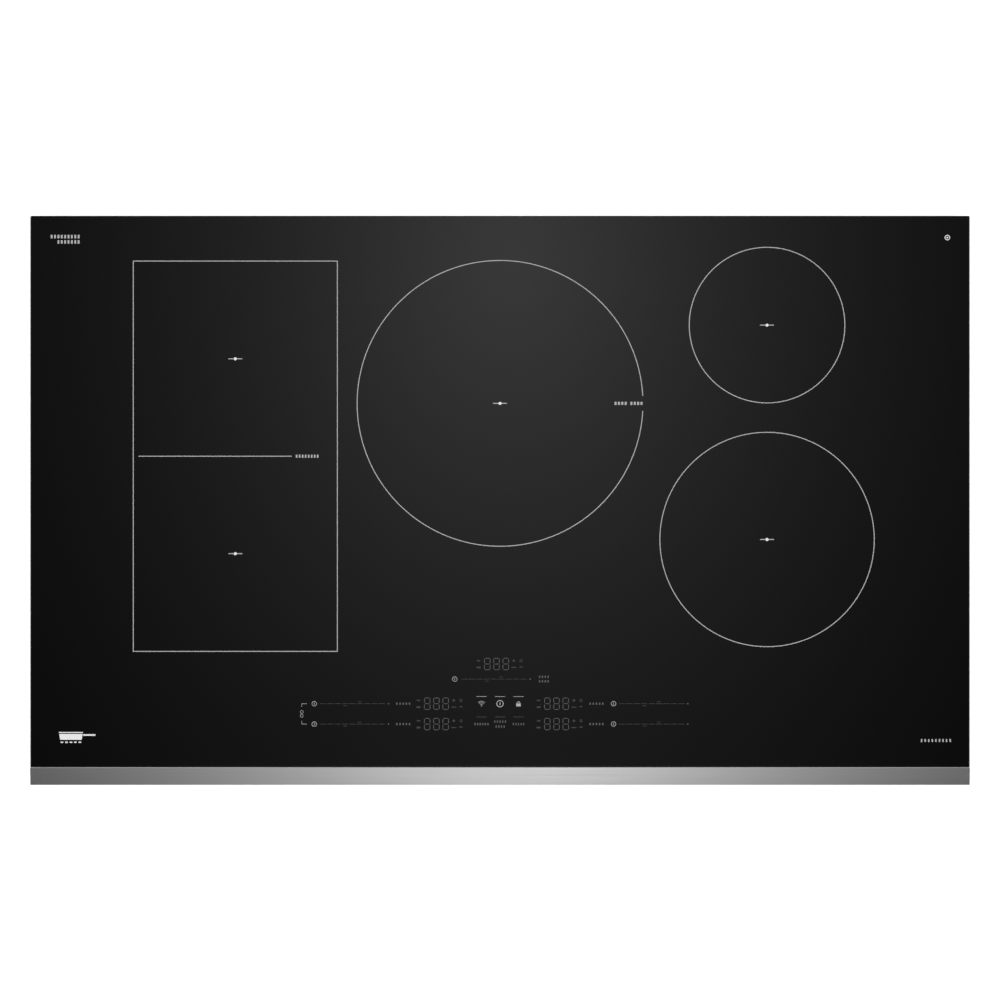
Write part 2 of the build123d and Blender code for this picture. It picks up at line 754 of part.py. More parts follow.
def ui_housing():
    # The plastic tray for the touch board, on four legs.
    half, wall = ui_width / 2, 1.8
    x, y = (-half, half), (ui_front, ui_back)
    top = glass_bottom - 0.4
    tray = block(x, y, (ui_floor, top))
    tray = fillet(tray.edges().filter_by(Axis.Z), 3)
    inside = block((x[0] + wall, x[1] - wall), (y[0] + wall, y[1] - wall), (ui_floor + wall, top))
    tray -= inside
    for lx in (-half + 12, half - 12):
        for ly in (ui_front + 10, ui_back - 10):
            tray += block((lx - 5, lx + 5), (ly - 5, ly + 5), (floor_top, ui_floor))
    for lx in (-150, -75, 0, 75, 150):
        for ly in (ui_front + 8, ui_back - 8):
            tray += rod(lx, ly, (ui_floor + wall, ui_board_bottom), 3)
    slot = Box(ribbon_width + 4, ribbon_thick + 5, 8)
    return tray - Pos(ribbon_x, ribbon_y, ui_floor) * slot


def ui_board():
    half = ui_width / 2 - 3
    return block((-half, half), (ui_front + 3, ui_back - 3), (ui_board_bottom, ui_board_bottom + board_thick))


def display_modules():
    # Five three-digit displays with their indicator lamps, just under the glass.
    z = (ui_board_bottom + board_thick, glass_bottom - 0.4)
    return [block((x - 23, x + 23), (y - 7.6, y + 7.6), z) for x, y in display_places]


def touch_springs():
    # Sensor springs between the board and the glass, one for each key and four for each slider.
    z = (ui_board_bottom + board_thick, glass_bottom)
    places = [(x, y) for y, xs in key_rows.items() for x in xs]
    places += [(x + i * 17, y) for y, xs in slider_starts.items() for x in xs for i in range(4)]
    return [rod(x, y, z, 4.0) - rod(x, y, z, 3.2) for x, y in places]


def panel_screws():
    # Every small screw: frame, deck, clamp brackets and inlet plate.
    screws = [screw(place, 5.0) for place in wall_screw_places()]
    screws += [screw(place, 3.0) for place in deck_screw_places()]
    screws += [screw(place, 5.5) for place in bracket_screw_places()]
    return screws + [screw(place, 5.0) for place in inlet_screw_places()]


# ---------------------------------------------------------------- write every node
save("glass_top", glass_top())
save("front_trim", front_trim())
save("counter_gasket", counter_gasket())
save("glass_bond", glass_bond())
save("glass_frame", glass_frame())
save("base_pan", base_pan())
save("inlet_plate", inlet_plate())
save("terminal_block", terminal_block())
for side_name, side in (("left", -1), ("right", 1)):
    save(f"clamp_bracket_{side_name}", clamp_bracket(side))
    save(f"clamp_screw_{side_name}", clamp_screw(side))
save("panel_screws", panel_screws())
save("coil_deck", coil_deck())
save("guide_pins", guide_pins())
for tray_name in trays:
    names = coils_of(tray_name)
    save(f"coil_tray_{tray_name}", coil_tray(tray_name))
    save(f"coil_formers_{tray_name}", [former(name) for name in names])
    save(f"ferrites_{tray_name}", [bar for name in names for bar in ferrites(name)])
    save(f"mica_sheets_{tray_name}", [mica(name) for name in names])
    save(f"heat_sensors_{tray_name}", [sensor(name) for name in names])
    save(f"tray_springs_{tray_name}", [spring(x, y) for x, y in pin_places(tray_name)])
    save(f"coil_leads_{tray_name}", coil_leads(tray_name))
save("winding_centre_inner", winding("centre", outer=ring_split[0]))
save("winding_centre_outer", winding("centre", inner=ring_split[1]))
for coil_name in ("left_rear", "left_front", "right_rear", "right_front"):
    save(f"winding_{coil_name}", winding(coil_name))
for module in module_centres:
    save(f"fan_rotor_{module}", fan_rotor(module))
save("fan_housings", [fan_housing(name) for name in module_centres])
save("fan_stators", [fan_stator(name) for name in module_centres])
spans = [board_span(name) for name in module_centres]
save("board_carriers", [board_carrier(*span) for span in spans + [filter_span]])
save("power_boards", [board(*span) for span in spans])
save("filter_board", board(*filter_span))
save("heatsinks", [heatsink(name) for name in module_centres])
save("power_transistors", [case for name in module_centres for case in transistors(name)])
save("capacitors", [one for name in module_centres for one in capacitors(name)])
save("chokes", [ring for name in module_centres for ring in chokes(name)])
save("mains_leads", mains_leads())
save("ui_ribbon", ui_ribbon())
save("ui_housing", ui_housing())
save("ui_board", ui_board())
save("display_modules", display_modules())
save("touch_springs", touch_springs())
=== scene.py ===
import json
import math
import random

import bmesh
import bpy
from mathutils import Matrix, Vector


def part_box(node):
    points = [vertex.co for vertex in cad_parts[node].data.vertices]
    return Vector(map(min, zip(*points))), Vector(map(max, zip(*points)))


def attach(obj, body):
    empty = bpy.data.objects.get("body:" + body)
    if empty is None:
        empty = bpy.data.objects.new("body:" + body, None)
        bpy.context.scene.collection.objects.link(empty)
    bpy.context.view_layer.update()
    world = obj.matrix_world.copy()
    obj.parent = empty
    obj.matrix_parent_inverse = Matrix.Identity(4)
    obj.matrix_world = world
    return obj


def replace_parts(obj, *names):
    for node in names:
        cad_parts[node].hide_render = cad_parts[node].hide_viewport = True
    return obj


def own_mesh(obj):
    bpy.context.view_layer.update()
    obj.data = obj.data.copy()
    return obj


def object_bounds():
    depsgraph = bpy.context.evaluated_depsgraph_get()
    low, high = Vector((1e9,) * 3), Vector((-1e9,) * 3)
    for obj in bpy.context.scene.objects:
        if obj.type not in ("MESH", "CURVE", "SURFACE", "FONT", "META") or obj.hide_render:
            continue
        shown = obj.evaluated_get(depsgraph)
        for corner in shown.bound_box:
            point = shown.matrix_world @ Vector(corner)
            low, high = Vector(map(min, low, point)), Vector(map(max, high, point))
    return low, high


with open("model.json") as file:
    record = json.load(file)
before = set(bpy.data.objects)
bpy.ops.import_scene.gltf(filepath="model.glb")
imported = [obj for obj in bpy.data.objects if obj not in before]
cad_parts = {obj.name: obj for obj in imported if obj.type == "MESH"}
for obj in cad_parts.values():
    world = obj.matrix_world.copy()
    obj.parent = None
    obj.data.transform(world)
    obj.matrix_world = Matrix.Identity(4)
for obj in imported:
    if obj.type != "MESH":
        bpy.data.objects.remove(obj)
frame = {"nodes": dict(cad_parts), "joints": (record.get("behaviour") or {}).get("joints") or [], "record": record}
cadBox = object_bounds()
mm = 0.001
print("frame loaded:", len(frame["nodes"]), "nodes")


def middle(node):
    low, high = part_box(node)
    return (low + high) / 2


def solidsOf(node):
    # the lowest and highest corner of each separate solid in a CAD node, from left to right
    bm = bmesh.new()
    bm.from_mesh(frame["nodes"][node].data)
    bmesh.ops.remove_doubles(bm, verts=bm.verts, dist=0.001 * mm)
    boxes, left = [], set(bm.verts)
    while left:
        ahead, found = [left.pop()], []
        while ahead:
            vert = ahead.pop()
            found.append(vert.co)
            for edge in vert.link_edges:
                other = edge.other_vert(vert)
                if other in left:
                    left.remove(other)
                    ahead.append(other)
        corners = [[pick(co[axis] for co in found) for axis in range(3)] for pick in (min, max)]
        boxes.append(tuple(Vector(corner) for corner in corners))
    bm.free()
    return sorted(boxes, key=lambda box: [round(value, 5) for value in box[0]])


glassLow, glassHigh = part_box("glass_top")


class Wire:
    # one output socket; arithmetic on it adds Math nodes

    def __init__(self, tree, socket):
        self.tree = tree
        self.socket = socket

    def node(self, kind, settings, sockets, out=0):
        made = self.tree.nodes.new(kind)
        for name, value in settings.items():
            if name == "stops":
                fillRamp(made.color_ramp, value)
            else:
                setattr(made, name, value)
        for name, value in sockets.items():
            if isinstance(value, Wire):
                self.tree.links.new(value.socket, made.inputs[name])
            else:
                made.inputs[name].default_value = value
        return None if out is None else Wire(self.tree, made.outputs[out])

    def math(self, operation, left, right=0.0):
        return self.node("ShaderNodeMath", {"operation": operation}, {0: left, 1: right})

    def __add__(self, other):
        return self.math("ADD", self, other)

    def __sub__(self, other):
        return self.math("SUBTRACT", self, other)

    def __mul__(self, other):
        return self.math("MULTIPLY", self, other)

    def __truediv__(self, other):
        return self.math("DIVIDE", self, other)

    def __pow__(self, other):
        return self.math("POWER", self, other)

    def __gt__(self, other):
        return self.math("GREATER_THAN", self, other)

    def __lt__(self, other):
        return self.math("LESS_THAN", self, other)


def fillRamp(ramp, stops):
    while len(ramp.elements) < len(stops):
        ramp.elements.new(0.5)
    for element, (position, colour) in zip(ramp.elements, stops):
        element.position = position
        element.color = colour


def grey(level):
    return (level, level, level, 1.0)


def vector(place, operation, other):
    return place.node("ShaderNodeVectorMath", {"operation": operation}, {0: place, 1: other})


def noise(place, scale, detail=3.0, rough=0.55):
    sockets = {"Vector": place, "Scale": scale, "Detail": detail, "Roughness": rough}
    return place.node("ShaderNodeTexNoise", {}, sockets)


def cells(place, scale, out="Distance"):
    return place.node("ShaderNodeTexVoronoi", {}, {"Vector": place, "Scale": scale}, out)


def axisOf(place, name):
    return place.node("ShaderNodeSeparateXYZ", {}, {0: place}, name)


def ramp(value, *stops):
    return value.node("ShaderNodeValToRGB", {"stops": stops}, {"Fac": value})


def between(value, low, high):
    # a 0 to 1 value spread from low to high
    return value * (high - low) + low


def mix(factor, first, second):
    return factor.node("ShaderNodeMix", {"data_type": "RGBA"}, {0: factor, 6: first, 7: second}, 2)


def bump(height, distance):
    return height.node("ShaderNodeBump", {}, {"Height": height, "Distance": distance, "Strength": 1.0})


def makeFinish(name, pattern, fixed):
    # pattern turns object coordinates into sockets; fixed holds the sockets that don't vary
    material = bpy.data.materials.new(name)
    material.use_nodes = True
    tree = material.node_tree
    tree.nodes.clear()
    place = Wire(tree, tree.nodes.new("ShaderNodeTexCoord").outputs["Object"])
    surface = place.node("ShaderNodeBsdfPrincipled", {}, {**fixed, **pattern(place)})
    place.node("ShaderNodeOutputMaterial", {}, {"Surface": surface}, None)
    return material


finishes = {}

glassLook = {
    "tint": 0.0005, "spread": (0.6, 1.4), "polish": 0.02, "film": 0.035, "cloud": 6.0, "speck": 900.0,
}


def glassPattern(place):
    film = noise(place, glassLook["cloud"], 4.0)
    speck = noise(place, glassLook["speck"], 1.0)
    dark, light = (grey(glassLook["tint"] * share) for share in glassLook["spread"])
    return {
        "Base Color": mix(speck, dark, light),
        "Roughness": between(film, glassLook["polish"], glassLook["film"]),
    }


finishes["black_glass"] = makeFinish("blackGlass", glassPattern, {"IOR": 1.52})

steelLook = {
    "grain": (7.0, 1100.0, 1100.0), "wide": (1.6, 150.0, 150.0), "light": 0.83, "dark": 0.71,
    "polish": 0.13, "dull": 0.24, "scratch": 0.000012,
    # the strip's rear and front edges, and how much darker the front one is painted: a painted shade for the
    # reflection that fades over the sloping strip
    "sheen": (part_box("front_trim")[1].y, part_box("front_trim")[0].y), "worn": 0.87,
}


def brushedPattern(place):
    fine = noise(vector(place, "MULTIPLY", steelLook["grain"]), 1.0, 4.0, 0.7)
    broad = noise(vector(place, "MULTIPLY", steelLook["wide"]), 1.0, 2.0)
    tone = fine * 0.6 + broad * 0.4
    rear, front = steelLook["sheen"]
    # painted shade: the base colour darkens from the strip's rear edge to its front, standing in for the
    # reflection that fades over the slope
    along = (axisOf(place, "Y") - front) / (rear - front)
    sheen = ramp(along, (0, grey(steelLook["worn"])), (1, grey(1.0)))
    colour = mix(tone, grey(steelLook["dark"]), grey(steelLook["light"]))
    return {
        "Base Color": place.node("ShaderNodeMix", {"data_type": "RGBA", "blend_type": "MULTIPLY"},
                                 {0: 1.0, 6: colour, 7: sheen}, 2),
        "Roughness": between(fine, steelLook["polish"], steelLook["dull"]),
        "Normal": bump(fine, steelLook["scratch"]),
    }


finishes["stainless"] = makeFinish("brushedStainless", brushedPattern, {"Metallic": 1.0})

zincLook = {
    "spangle": 150.0, "wobble": 60.0, "wobbleBy": 0.008, "frost": 420.0, "frostDepth": 0.00002,
    "dark": (0.5, 0.52, 0.54, 1), "mid": (0.57, 0.59, 0.6, 1), "light": (0.64, 0.66, 0.67, 1),
    "polish": 0.34, "dull": 0.5,
}


def zincPattern(place):
    wobble = vector(place, "ADD", noise(place, zincLook["wobble"]) * zincLook["wobbleBy"])
    tone = axisOf(cells(wobble, zincLook["spangle"], "Color"), "X")
    frost = noise(place, zincLook["frost"])
    shade = tone * 0.7 + frost * 0.3
    return {
        "Base Color": ramp(
            shade, (0.1, zincLook["dark"]), (0.5, zincLook["mid"]), (0.9, zincLook["light"]),
        ),
        "Roughness": between(shade, zincLook["polish"], zincLook["dull"]),
        "Normal": bump(frost, zincLook["frostDepth"]),
    }


finishes["zinc_steel"] = makeFinish("galvanisedSheet", zincPattern, {"Metallic": 1.0})


def metalPattern(low, high, scale, grainDepth, roughLow, roughHigh, stretchBy=(1, 1, 1)):
    # a plain metal with mottled tone, used for plated, cast, rolled and drawn pieces
    def pattern(place):
        moved = vector(place, "MULTIPLY", stretchBy)
        grain = noise(moved, scale, 4.0, 0.6)
        return {
            "Base Color": mix(grain, low, high),
            "Roughness": between(grain, roughLow, roughHigh),
            "Normal": bump(grain, grainDepth),
        }
    return pattern


def mouldedPattern(low, high, scale, grainDepth, roughLow, roughHigh):
    # a moulded plastic, rubber or ceramic with a fine pebbled skin and slow tone changes
    def pattern(place):
        pebble = cells(place, scale)
        cloud = noise(place, 30.0, 3.0)
        return {
            "Base Color": mix(cloud, low, high),
            "Roughness": between(pebble * 0.5 + cloud * 0.5, roughLow, roughHigh),
            "Normal": bump(pebble, grainDepth),
        }
    return pattern


# low and high colour, grain scale, grain depth, low and high roughness, stretch of the grain
metalSet = {
    "bright_zinc": ((0.62, 0.64, 0.66, 1), (0.78, 0.79, 0.8, 1), 700.0, 0.00001, 0.18, 0.32, (1, 1, 1)),
    "aluminium_sheet": ((0.66, 0.67, 0.68, 1), (0.8, 0.81, 0.82, 1), 1.0, 0.00002, 0.26, 0.4, (14, 520, 520)),
    "heatsink": ((0.6, 0.61, 0.62, 1), (0.76, 0.77, 0.78, 1), 1.0, 0.00003, 0.3, 0.44, (400, 10, 400)),
    "spring_steel": ((0.36, 0.36, 0.37, 1), (0.52, 0.52, 0.53, 1), 900.0, 0.00001, 0.22, 0.36, (1, 1, 1)),
    "motor_core": ((0.2, 0.19, 0.18, 1), (0.42, 0.41, 0.4, 1), 1.0, 0.00008, 0.32, 0.5, (60, 60, 1900)),
}
for slotName, look in metalSet.items():
    finishes[slotName] = makeFinish(slotName.replace("_", " "), metalPattern(*look), {"Metallic": 1.0})

# low and high colour, pebble scale, pebble depth, low and high roughness
mouldedSet = {
    "gasket_foam": ((0.012, 0.012, 0.012, 1), (0.03, 0.03, 0.031, 1), 1400.0, 0.0002, 0.8, 0.95),
    "silicone": ((0.02, 0.02, 0.02, 1), (0.035, 0.035, 0.035, 1), 300.0, 0.00002, 0.35, 0.5),
    "former_plastic": ((0.03, 0.03, 0.032, 1), (0.055, 0.055, 0.058, 1), 900.0, 0.00003, 0.5, 0.68),
    "ferrite": ((0.025, 0.025, 0.027, 1), (0.06, 0.06, 0.062, 1), 1200.0, 0.00004, 0.6, 0.8),
    "sensor_rubber": ((0.36, 0.07, 0.04, 1), (0.44, 0.1, 0.06, 1), 700.0, 0.00002, 0.45, 0.6),
    "chip_black": ((0.012, 0.012, 0.013, 1), (0.024, 0.024, 0.026, 1), 1600.0, 0.00003, 0.32, 0.48),
    "capacitor_case": ((0.4, 0.4, 0.36, 1), (0.5, 0.5, 0.46, 1), 600.0, 0.00001, 0.22, 0.36),
    "fan_plastic": ((0.014, 0.014, 0.015, 1), (0.026, 0.026, 0.028, 1), 1100.0, 0.00003, 0.42, 0.58),
    "carrier_plastic": ((0.34, 0.35, 0.34, 1), (0.42, 0.43, 0.42, 1), 1000.0, 0.00003, 0.45, 0.6),
    "wire_insulation": ((0.015, 0.015, 0.016, 1), (0.03, 0.03, 0.031, 1), 500.0, 0.00001, 0.35, 0.5),
    "panel_plastic": ((0.03, 0.03, 0.032, 1), (0.05, 0.05, 0.052, 1), 1000.0, 0.00003, 0.45, 0.6),
    "display_black": ((0.006, 0.006, 0.007, 1), (0.012, 0.012, 0.013, 1), 400.0, 0.000004, 0.1, 0.2),
}
for slotName, look in mouldedSet.items():
    finishes[slotName] = makeFinish(slotName.replace("_", " "), mouldedPattern(*look), {"IOR": 1.5})


def unary(value, operation):
    # a Math node with one operand
    return value.node("ShaderNodeMath", {"operation": operation}, {0: value})


def sine(phase):
    return unary(phase, "SINE")


litzLook = {
    "strands": 420, "slant": 4200.0, "depth": 0.00025, "cloud": 90.0, "polish": 0.26, "dull": 0.42,
    "dark": (0.16, 0.05, 0.02, 1), "light": (0.66, 0.29, 0.12, 1),
}


def litzPattern(centre):
    # strands twist round the wire while the wire runs round the coil's centre
    def pattern(place):
        shift = (-centre.x, -centre.y, 0)
        moved = place.node("ShaderNodeMapping", {}, {"Vector": place, "Location": shift})
        x, y, z = (axisOf(moved, axis) for axis in "XYZ")
        turn = x.node("ShaderNodeMath", {"operation": "ARCTAN2"}, {0: y, 1: x})
        reach = (x * x + y * y) ** 0.5
        twist = sine(turn * litzLook["strands"] + (reach + z) * litzLook["slant"]) * 0.5 + 0.5
        tone = twist * 0.65 + noise(place, litzLook["cloud"]) * 0.35
        return {
            "Base Color": mix(tone, litzLook["dark"], litzLook["light"]),
            "Roughness": between(tone, litzLook["dull"], litzLook["polish"]),
            "Normal": bump(twist, litzLook["depth"]),
        }
    return pattern


enamelLook = {
    "cloud": 300.0, "skin": 1400.0, "depth": 0.00001, "polish": 0.16, "dull": 0.3,
    "dark": (0.44, 0.16, 0.06, 1), "light": (0.66, 0.27, 0.1, 1),
}


def enamelPattern(place):
    cloud = noise(place, enamelLook["cloud"])
    return {
        "Base Color": mix(cloud, enamelLook["dark"], enamelLook["light"]),
        "Roughness": between(cloud, enamelLook["polish"], enamelLook["dull"]),
        "Normal": bump(noise(place, enamelLook["skin"], 2.0), enamelLook["depth"]),
    }


coilNodes = {
    "winding_left_rear": "leftRearCoil", "winding_left_front": "leftFrontCoil",
    "winding_centre_inner": "centreInnerCoil", "winding_centre_outer": "centreOuterCoil",
    "winding_right_rear": "rightRearCoil", "winding_right_front": "rightFrontCoil",
}
for node, coilName in coilNodes.items():
    finishes[coilName] = makeFinish(coilName + "Litz", litzPattern(middle(node)), {"Metallic": 0.9})
finishes["enamelWire"] = makeFinish("enamelWire", enamelPattern, {"Metallic": 0.9})
finishes["litz_copper"] = finishes["choke_winding"] = finishes["enamelWire"]

micaLook = {
    "flake": 240.0, "dark": (0.42, 0.39, 0.31, 1), "light": (0.66, 0.63, 0.54, 1),
    "polish": 0.28, "dull": 0.6,
    "glint": (0.8, 0.5),     # the share without glint, and its strength
}


def micaPattern(place):
    tone = axisOf(cells(place, micaLook["flake"], "Color"), "X")
    return {
        "Base Color": mix(tone, micaLook["dark"], micaLook["light"]),
        "Roughness": between(tone, micaLook["polish"], micaLook["dull"]),
        "Metallic": (tone > micaLook["glint"][0]) * micaLook["glint"][1],
    }


finishes["mica"] = makeFinish("micaSheet", micaPattern, {})

sleeveLook = {
    "weave": 1500.0, "depth": 0.0002, "polish": 0.6, "dull": 0.8,
    "dark": (0.44, 0.42, 0.36, 1), "light": (0.7, 0.68, 0.6, 1),
}


def sleevePattern(place):
    turn = axisOf(place, "Z") * sleeveLook["weave"]
    across = (axisOf(place, "X") + axisOf(place, "Y")) * sleeveLook["weave"]
    braid = sine(turn + across) * sine(turn - across) * 0.5 + 0.5
    return {
        "Base Color": mix(braid, sleeveLook["dark"], sleeveLook["light"]),
        "Roughness": between(braid, sleeveLook["polish"], sleeveLook["dull"]),
        "Normal": bump(braid, sleeveLook["depth"]),
    }


finishes["lead_sleeve"] = makeFinish("braidedSleeve", sleevePattern, {})

boardLook = {
    "track": 170.0, "gap": 0.09, "mask": (0.008, 0.07, 0.03, 1), "copper": (0.03, 0.17, 0.07, 1),
    "pad": (260.0, 0.16), "cloud": 25.0, "depth": 0.00003, "polish": 0.22, "dull": 0.36,
}


def boardPattern(place):
    # copper tracks show through the mask as lighter lanes along the edges of square cells
    lanes = place.node("ShaderNodeTexBrick", {"offset": 0.37, "squash": 1.6}, {
        "Vector": place, "Scale": boardLook["track"], "Color1": grey(0.0), "Color2": grey(0.25),
        "Mortar": grey(1.0), "Mortar Size": boardLook["gap"], "Mortar Smooth": 0.1,
    }, "Color")
    lane = axisOf(lanes, "X")
    padScale, padSize = boardLook["pad"]
    pad = cells(place, padScale) < padSize
    cloud = noise(place, boardLook["cloud"])
    copper = lane * 0.8 + pad * 0.5
    masked = mix(copper, boardLook["mask"], boardLook["copper"])
    return {
        "Base Color": mix(cloud * 0.3, masked, boardLook["mask"]),
        "Roughness": between(cloud, boardLook["polish"], boardLook["dull"]),
        "Normal": bump(copper, boardLook["depth"]),
    }


finishes["circuit_board"] = makeFinish("circuitBoard", boardPattern, {})

ribbonLook = {
    "wires": 1.27 * mm, "dark": 0.24, "light": 0.42, "depth": 0.0004, "polish": 0.4, "dull": 0.55,
}


def ribbonPattern(place):
    # ridges of the flat cable's wires, side by side along X
    phase = axisOf(place, "X") * (2 * math.pi / ribbonLook["wires"])
    ridge = sine(phase) * 0.5 + 0.5
    return {
        "Base Color": mix(ridge, grey(ribbonLook["dark"]), grey(ribbonLook["light"])),
        "Roughness": between(ridge, ribbonLook["polish"], ribbonLook["dull"]),
        "Normal": bump(ridge, ribbonLook["depth"]),
    }


finishes["ribbon"] = makeFinish("ribbonCable", ribbonPattern, {})

inkSet = {"inkWhite": 0.76, "inkLine": 0.41, "inkKey": 0.29, "inkFigure": 0.096, "inkDim": 0.048}


def inkPattern(level):
    def pattern(place):
        grain = noise(place, 2500.0, 2.0)
        return {
            "Base Color": mix(grain, grey(level * 0.85), grey(min(level * 1.15, 1.0))),
            "Roughness": between(grain, 0.35, 0.55),
        }
    return pattern


for inkName, level in inkSet.items():
    finishes[inkName] = makeFinish(inkName, inkPattern(level), {})

for part in frame["record"]["subparts"]:
    shown = frame["nodes"][part["node"]]
    shown.data.materials.clear()
    shown.data.materials.append(finishes[part["material_slot"]])
print("finishes made:", len(finishes))


def piece(name, bm, body, finish, smooth=False):
    bmesh.ops.recalc_face_normals(bm, faces=bm.faces)
    mesh = bpy.data.meshes.new(name)
    bm.to_mesh(mesh)
    bm.free()
    mesh.materials.append(finishes[finish])
    if smooth:
        mesh.shade_smooth()
    made = bpy.data.objects.new(name, mesh)
    bpy.context.scene.collection.objects.link(made)
    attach(made, body)
    return made


def block(bm, low, high, turn=0.0):
    centre = (Vector(low) + Vector(high)) / 2
    size = Vector(high) - Vector(low)
    spot = Matrix.Translation(centre) @ Matrix.Rotation(turn, 4, "Z") @ Matrix.Diagonal((*size, 1))
    return bmesh.ops.create_cube(bm, size=1.0, matrix=spot)["verts"]


def rod(bm, x, y, low, high, radius, sides):
    spot = Matrix.Translation((x, y, (low + high) / 2))
    return bmesh.ops.create_cone(
        bm, cap_ends=True, cap_tris=False, segments=sides,
        radius1=radius, radius2=radius, depth=high - low, matrix=spot,
    )["verts"]


def ring(bm, x, y, inner, outer, low, high, start=0.0, sweep=360.0, steps=32):
    # a flat-sided ring, or a stretch of one with its angles in degrees
    turn = Matrix.Rotation(math.radians(start), 3, "Z")
    corners = [(inner, low), (outer, low), (outer, high), (inner, high)]
    verts = [bm.verts.new(turn @ Vector((reach, 0, z)) + Vector((x, y, 0))) for reach, z in corners]
    full = sweep >= 360
    face = bm.faces.new(verts)
    geometry = list(face.edges) if full else [face]
    bmesh.ops.spin(bm, geom=geometry, cent=(x, y, 0), axis=(0, 0, 1),
                   angle=math.radians(sweep), steps=steps, use_merge=full)
    if full:
        bm.faces.remove(face)


def tube(name, paths, thick, body, finish, sides=2, route="POLY"):
    # round wire along lists of points, as one mesh; a NURBS route rounds its corners
    curve = bpy.data.curves.new(name, "CURVE")
    curve.dimensions = "3D"
    curve.bevel_depth = thick / 2
    curve.bevel_resolution = sides
    curve.resolution_u = 6
    curve.use_fill_caps = True
    for points in paths:
        spline = curve.splines.new(route)
        spline.points.add(len(points) - 1)
        for point, at in zip(spline.points, points):
            point.co = (*at, 1.0)
        if route == "NURBS":
            spline.order_u = 3
            spline.use_endpoint_u = True
    holder = bpy.data.objects.new(name + "Line", curve)
    bpy.context.scene.collection.objects.link(holder)
    bpy.context.view_layer.update()
    solid = holder.evaluated_get(bpy.context.evaluated_depsgraph_get())
    mesh = bpy.data.meshes.new_from_object(solid)
    bpy.data.objects.remove(holder)
    bm = bmesh.new()
    bm.from_mesh(mesh)
    bmesh.ops.remove_doubles(bm, verts=bm.verts, dist=0.001 * mm)
    bpy.data.meshes.remove(mesh)
    return piece(name, bm, body, finish, smooth=True)


litz = {"thick": 3.7 * mm, "steps": 60, "bore": 22.0 * mm, "split": 78.0 * mm, "corner": 58.0 * mm}


def edgeReach(half, corner, angle):
    # how far a rounded rectangle's edge lies from its middle at an angle; a circle is all corner
    across, along = abs(math.cos(angle)), abs(math.sin(angle))
    x, y = half.x - corner, half.y - corner
    if half.x * along <= y * across:
        return half.x / across
    if half.y * across <= x * along:
        return half.y / along
    ahead = x * across + y * along
    return ahead + math.sqrt(ahead * ahead - x * x - y * y + corner * corner)


def windCoil(node, body, inner, corner=None):
    # one layer of litz wire, spiralling out from the bore to the coil's edge
    low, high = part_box(node)
    at, half = (low + high) / 2, (high - low) / 2
    corner = corner or half.x
    thick = litz["thick"]
    turns = int((min(half.x, half.y) - inner - thick) / thick)
    count = turns * litz["steps"]
    points = []
    for step in range(count + 1):
        angle = 2 * math.pi * step / litz["steps"]
        start, end = inner + thick / 2, edgeReach(half, corner, angle) - thick / 2
        reach = start + (end - start) * step / count
        points.append(at + Vector((reach * math.cos(angle), reach * math.sin(angle), 0)))
    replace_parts(tube(coilNodes[node], [points], thick, body, coilNodes[node]), node)


for node in coilNodes:
    side = node.split("_")[1]
    bore = litz["split"] if node.endswith("outer") else litz["bore"]
    windCoil(node, "coil_tray_" + side, bore, litz["corner"] if side == "left" else None)
print("coils wound:", len(coilNodes))


def coilSpring(x, y, low, high, radius, thick, turns, steps=18):
    # a compression spring with a closed turn at each end
    points, rise = [], high - low - thick
    for step in range(turns * steps + 1):
        share = step / steps
        if share < 1:
            height = thick * share
        elif share > turns - 1:
            height = rise - thick * (turns - share)
        else:
            height = thick + (rise - 2 * thick) * (share - 1) / (turns - 2)
        angle = 2 * math.pi * share
        z = low + thick / 2 + height
        points.append((x + radius * math.cos(angle), y + radius * math.sin(angle), z))
    return points


traySpring = {"radius": 5.2 * mm, "thick": 1.1 * mm, "turns": 7}
touchSpring = {"radius": 3.6 * mm, "thick": 0.6 * mm, "turns": 8}
lead = {
    "thick": 4.0 * mm, "along": (0.0, 10.0, 24.0, 34.0), "step": (10.0, -14.0), "sleeve": 5.4 * mm,
    # how far down each point of a lead lies, above the board's end and then over it
    "upper": (0, 0.2, 0.4, 0.56, 0.64), "lower": (0.78, 0.86, 0.94, 1),
}


def springPaths(node, look):
    paths = []
    for low, high in solidsOf(node):
        x, y = (low.x + high.x) / 2, (low.y + high.y) / 2
        paths.append(coilSpring(x, y, low.z, high.z, look["radius"], look["thick"], look["turns"]))
    return paths


def leadPlaces(side):
    # where each coil lead starts, and where it meets the board
    low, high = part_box("coil_leads_" + side)
    half = lead["thick"] / 2
    starts = [Vector((low.x + half + along * mm, high.y - half, high.z)) for along in lead["along"]]
    step = Vector((lead["step"][0] * mm, lead["step"][1] * mm, low.z - high.z))
    return [(start, start + step) for start in starts]


def makeTrayFittings(side):
    joint, bottom = f"coil_tray_{side}_spring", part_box("tray_springs_" + side)[0].z
    node = "tray_springs_" + side
    springs = tube(side + "TraySprings", springPaths(node, traySpring), traySpring["thick"],
                   "base", "spring_steel")
    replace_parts(springs, node)
    low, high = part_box("coil_tray_" + side)
    travel = -next(j for j in frame["joints"] if j["name"] == joint)["range_m"][0]
    kept = 1 - travel / (low.z - bottom)
    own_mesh(springs)
    paths = []
    for start, end in leadPlaces(side):
        down, bend = start.z - end.z, Vector((end.x, end.y, 0))
        upper = [Vector((start.x, start.y, start.z - down * share)) for share in lead["upper"]]
        lower = [bend + Vector((0, 0, start.z - down * share)) for share in lead["lower"]]
        paths.append(upper + lower)
    leads = tube(side + "CoilLeads", paths, lead["thick"],
                 "base", "lead_sleeve", route="NURBS")
    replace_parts(leads, "coil_leads_" + side)
    height = paths[0][0].z - paths[0][-1].z
    1 - travel / height
    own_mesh(leads)


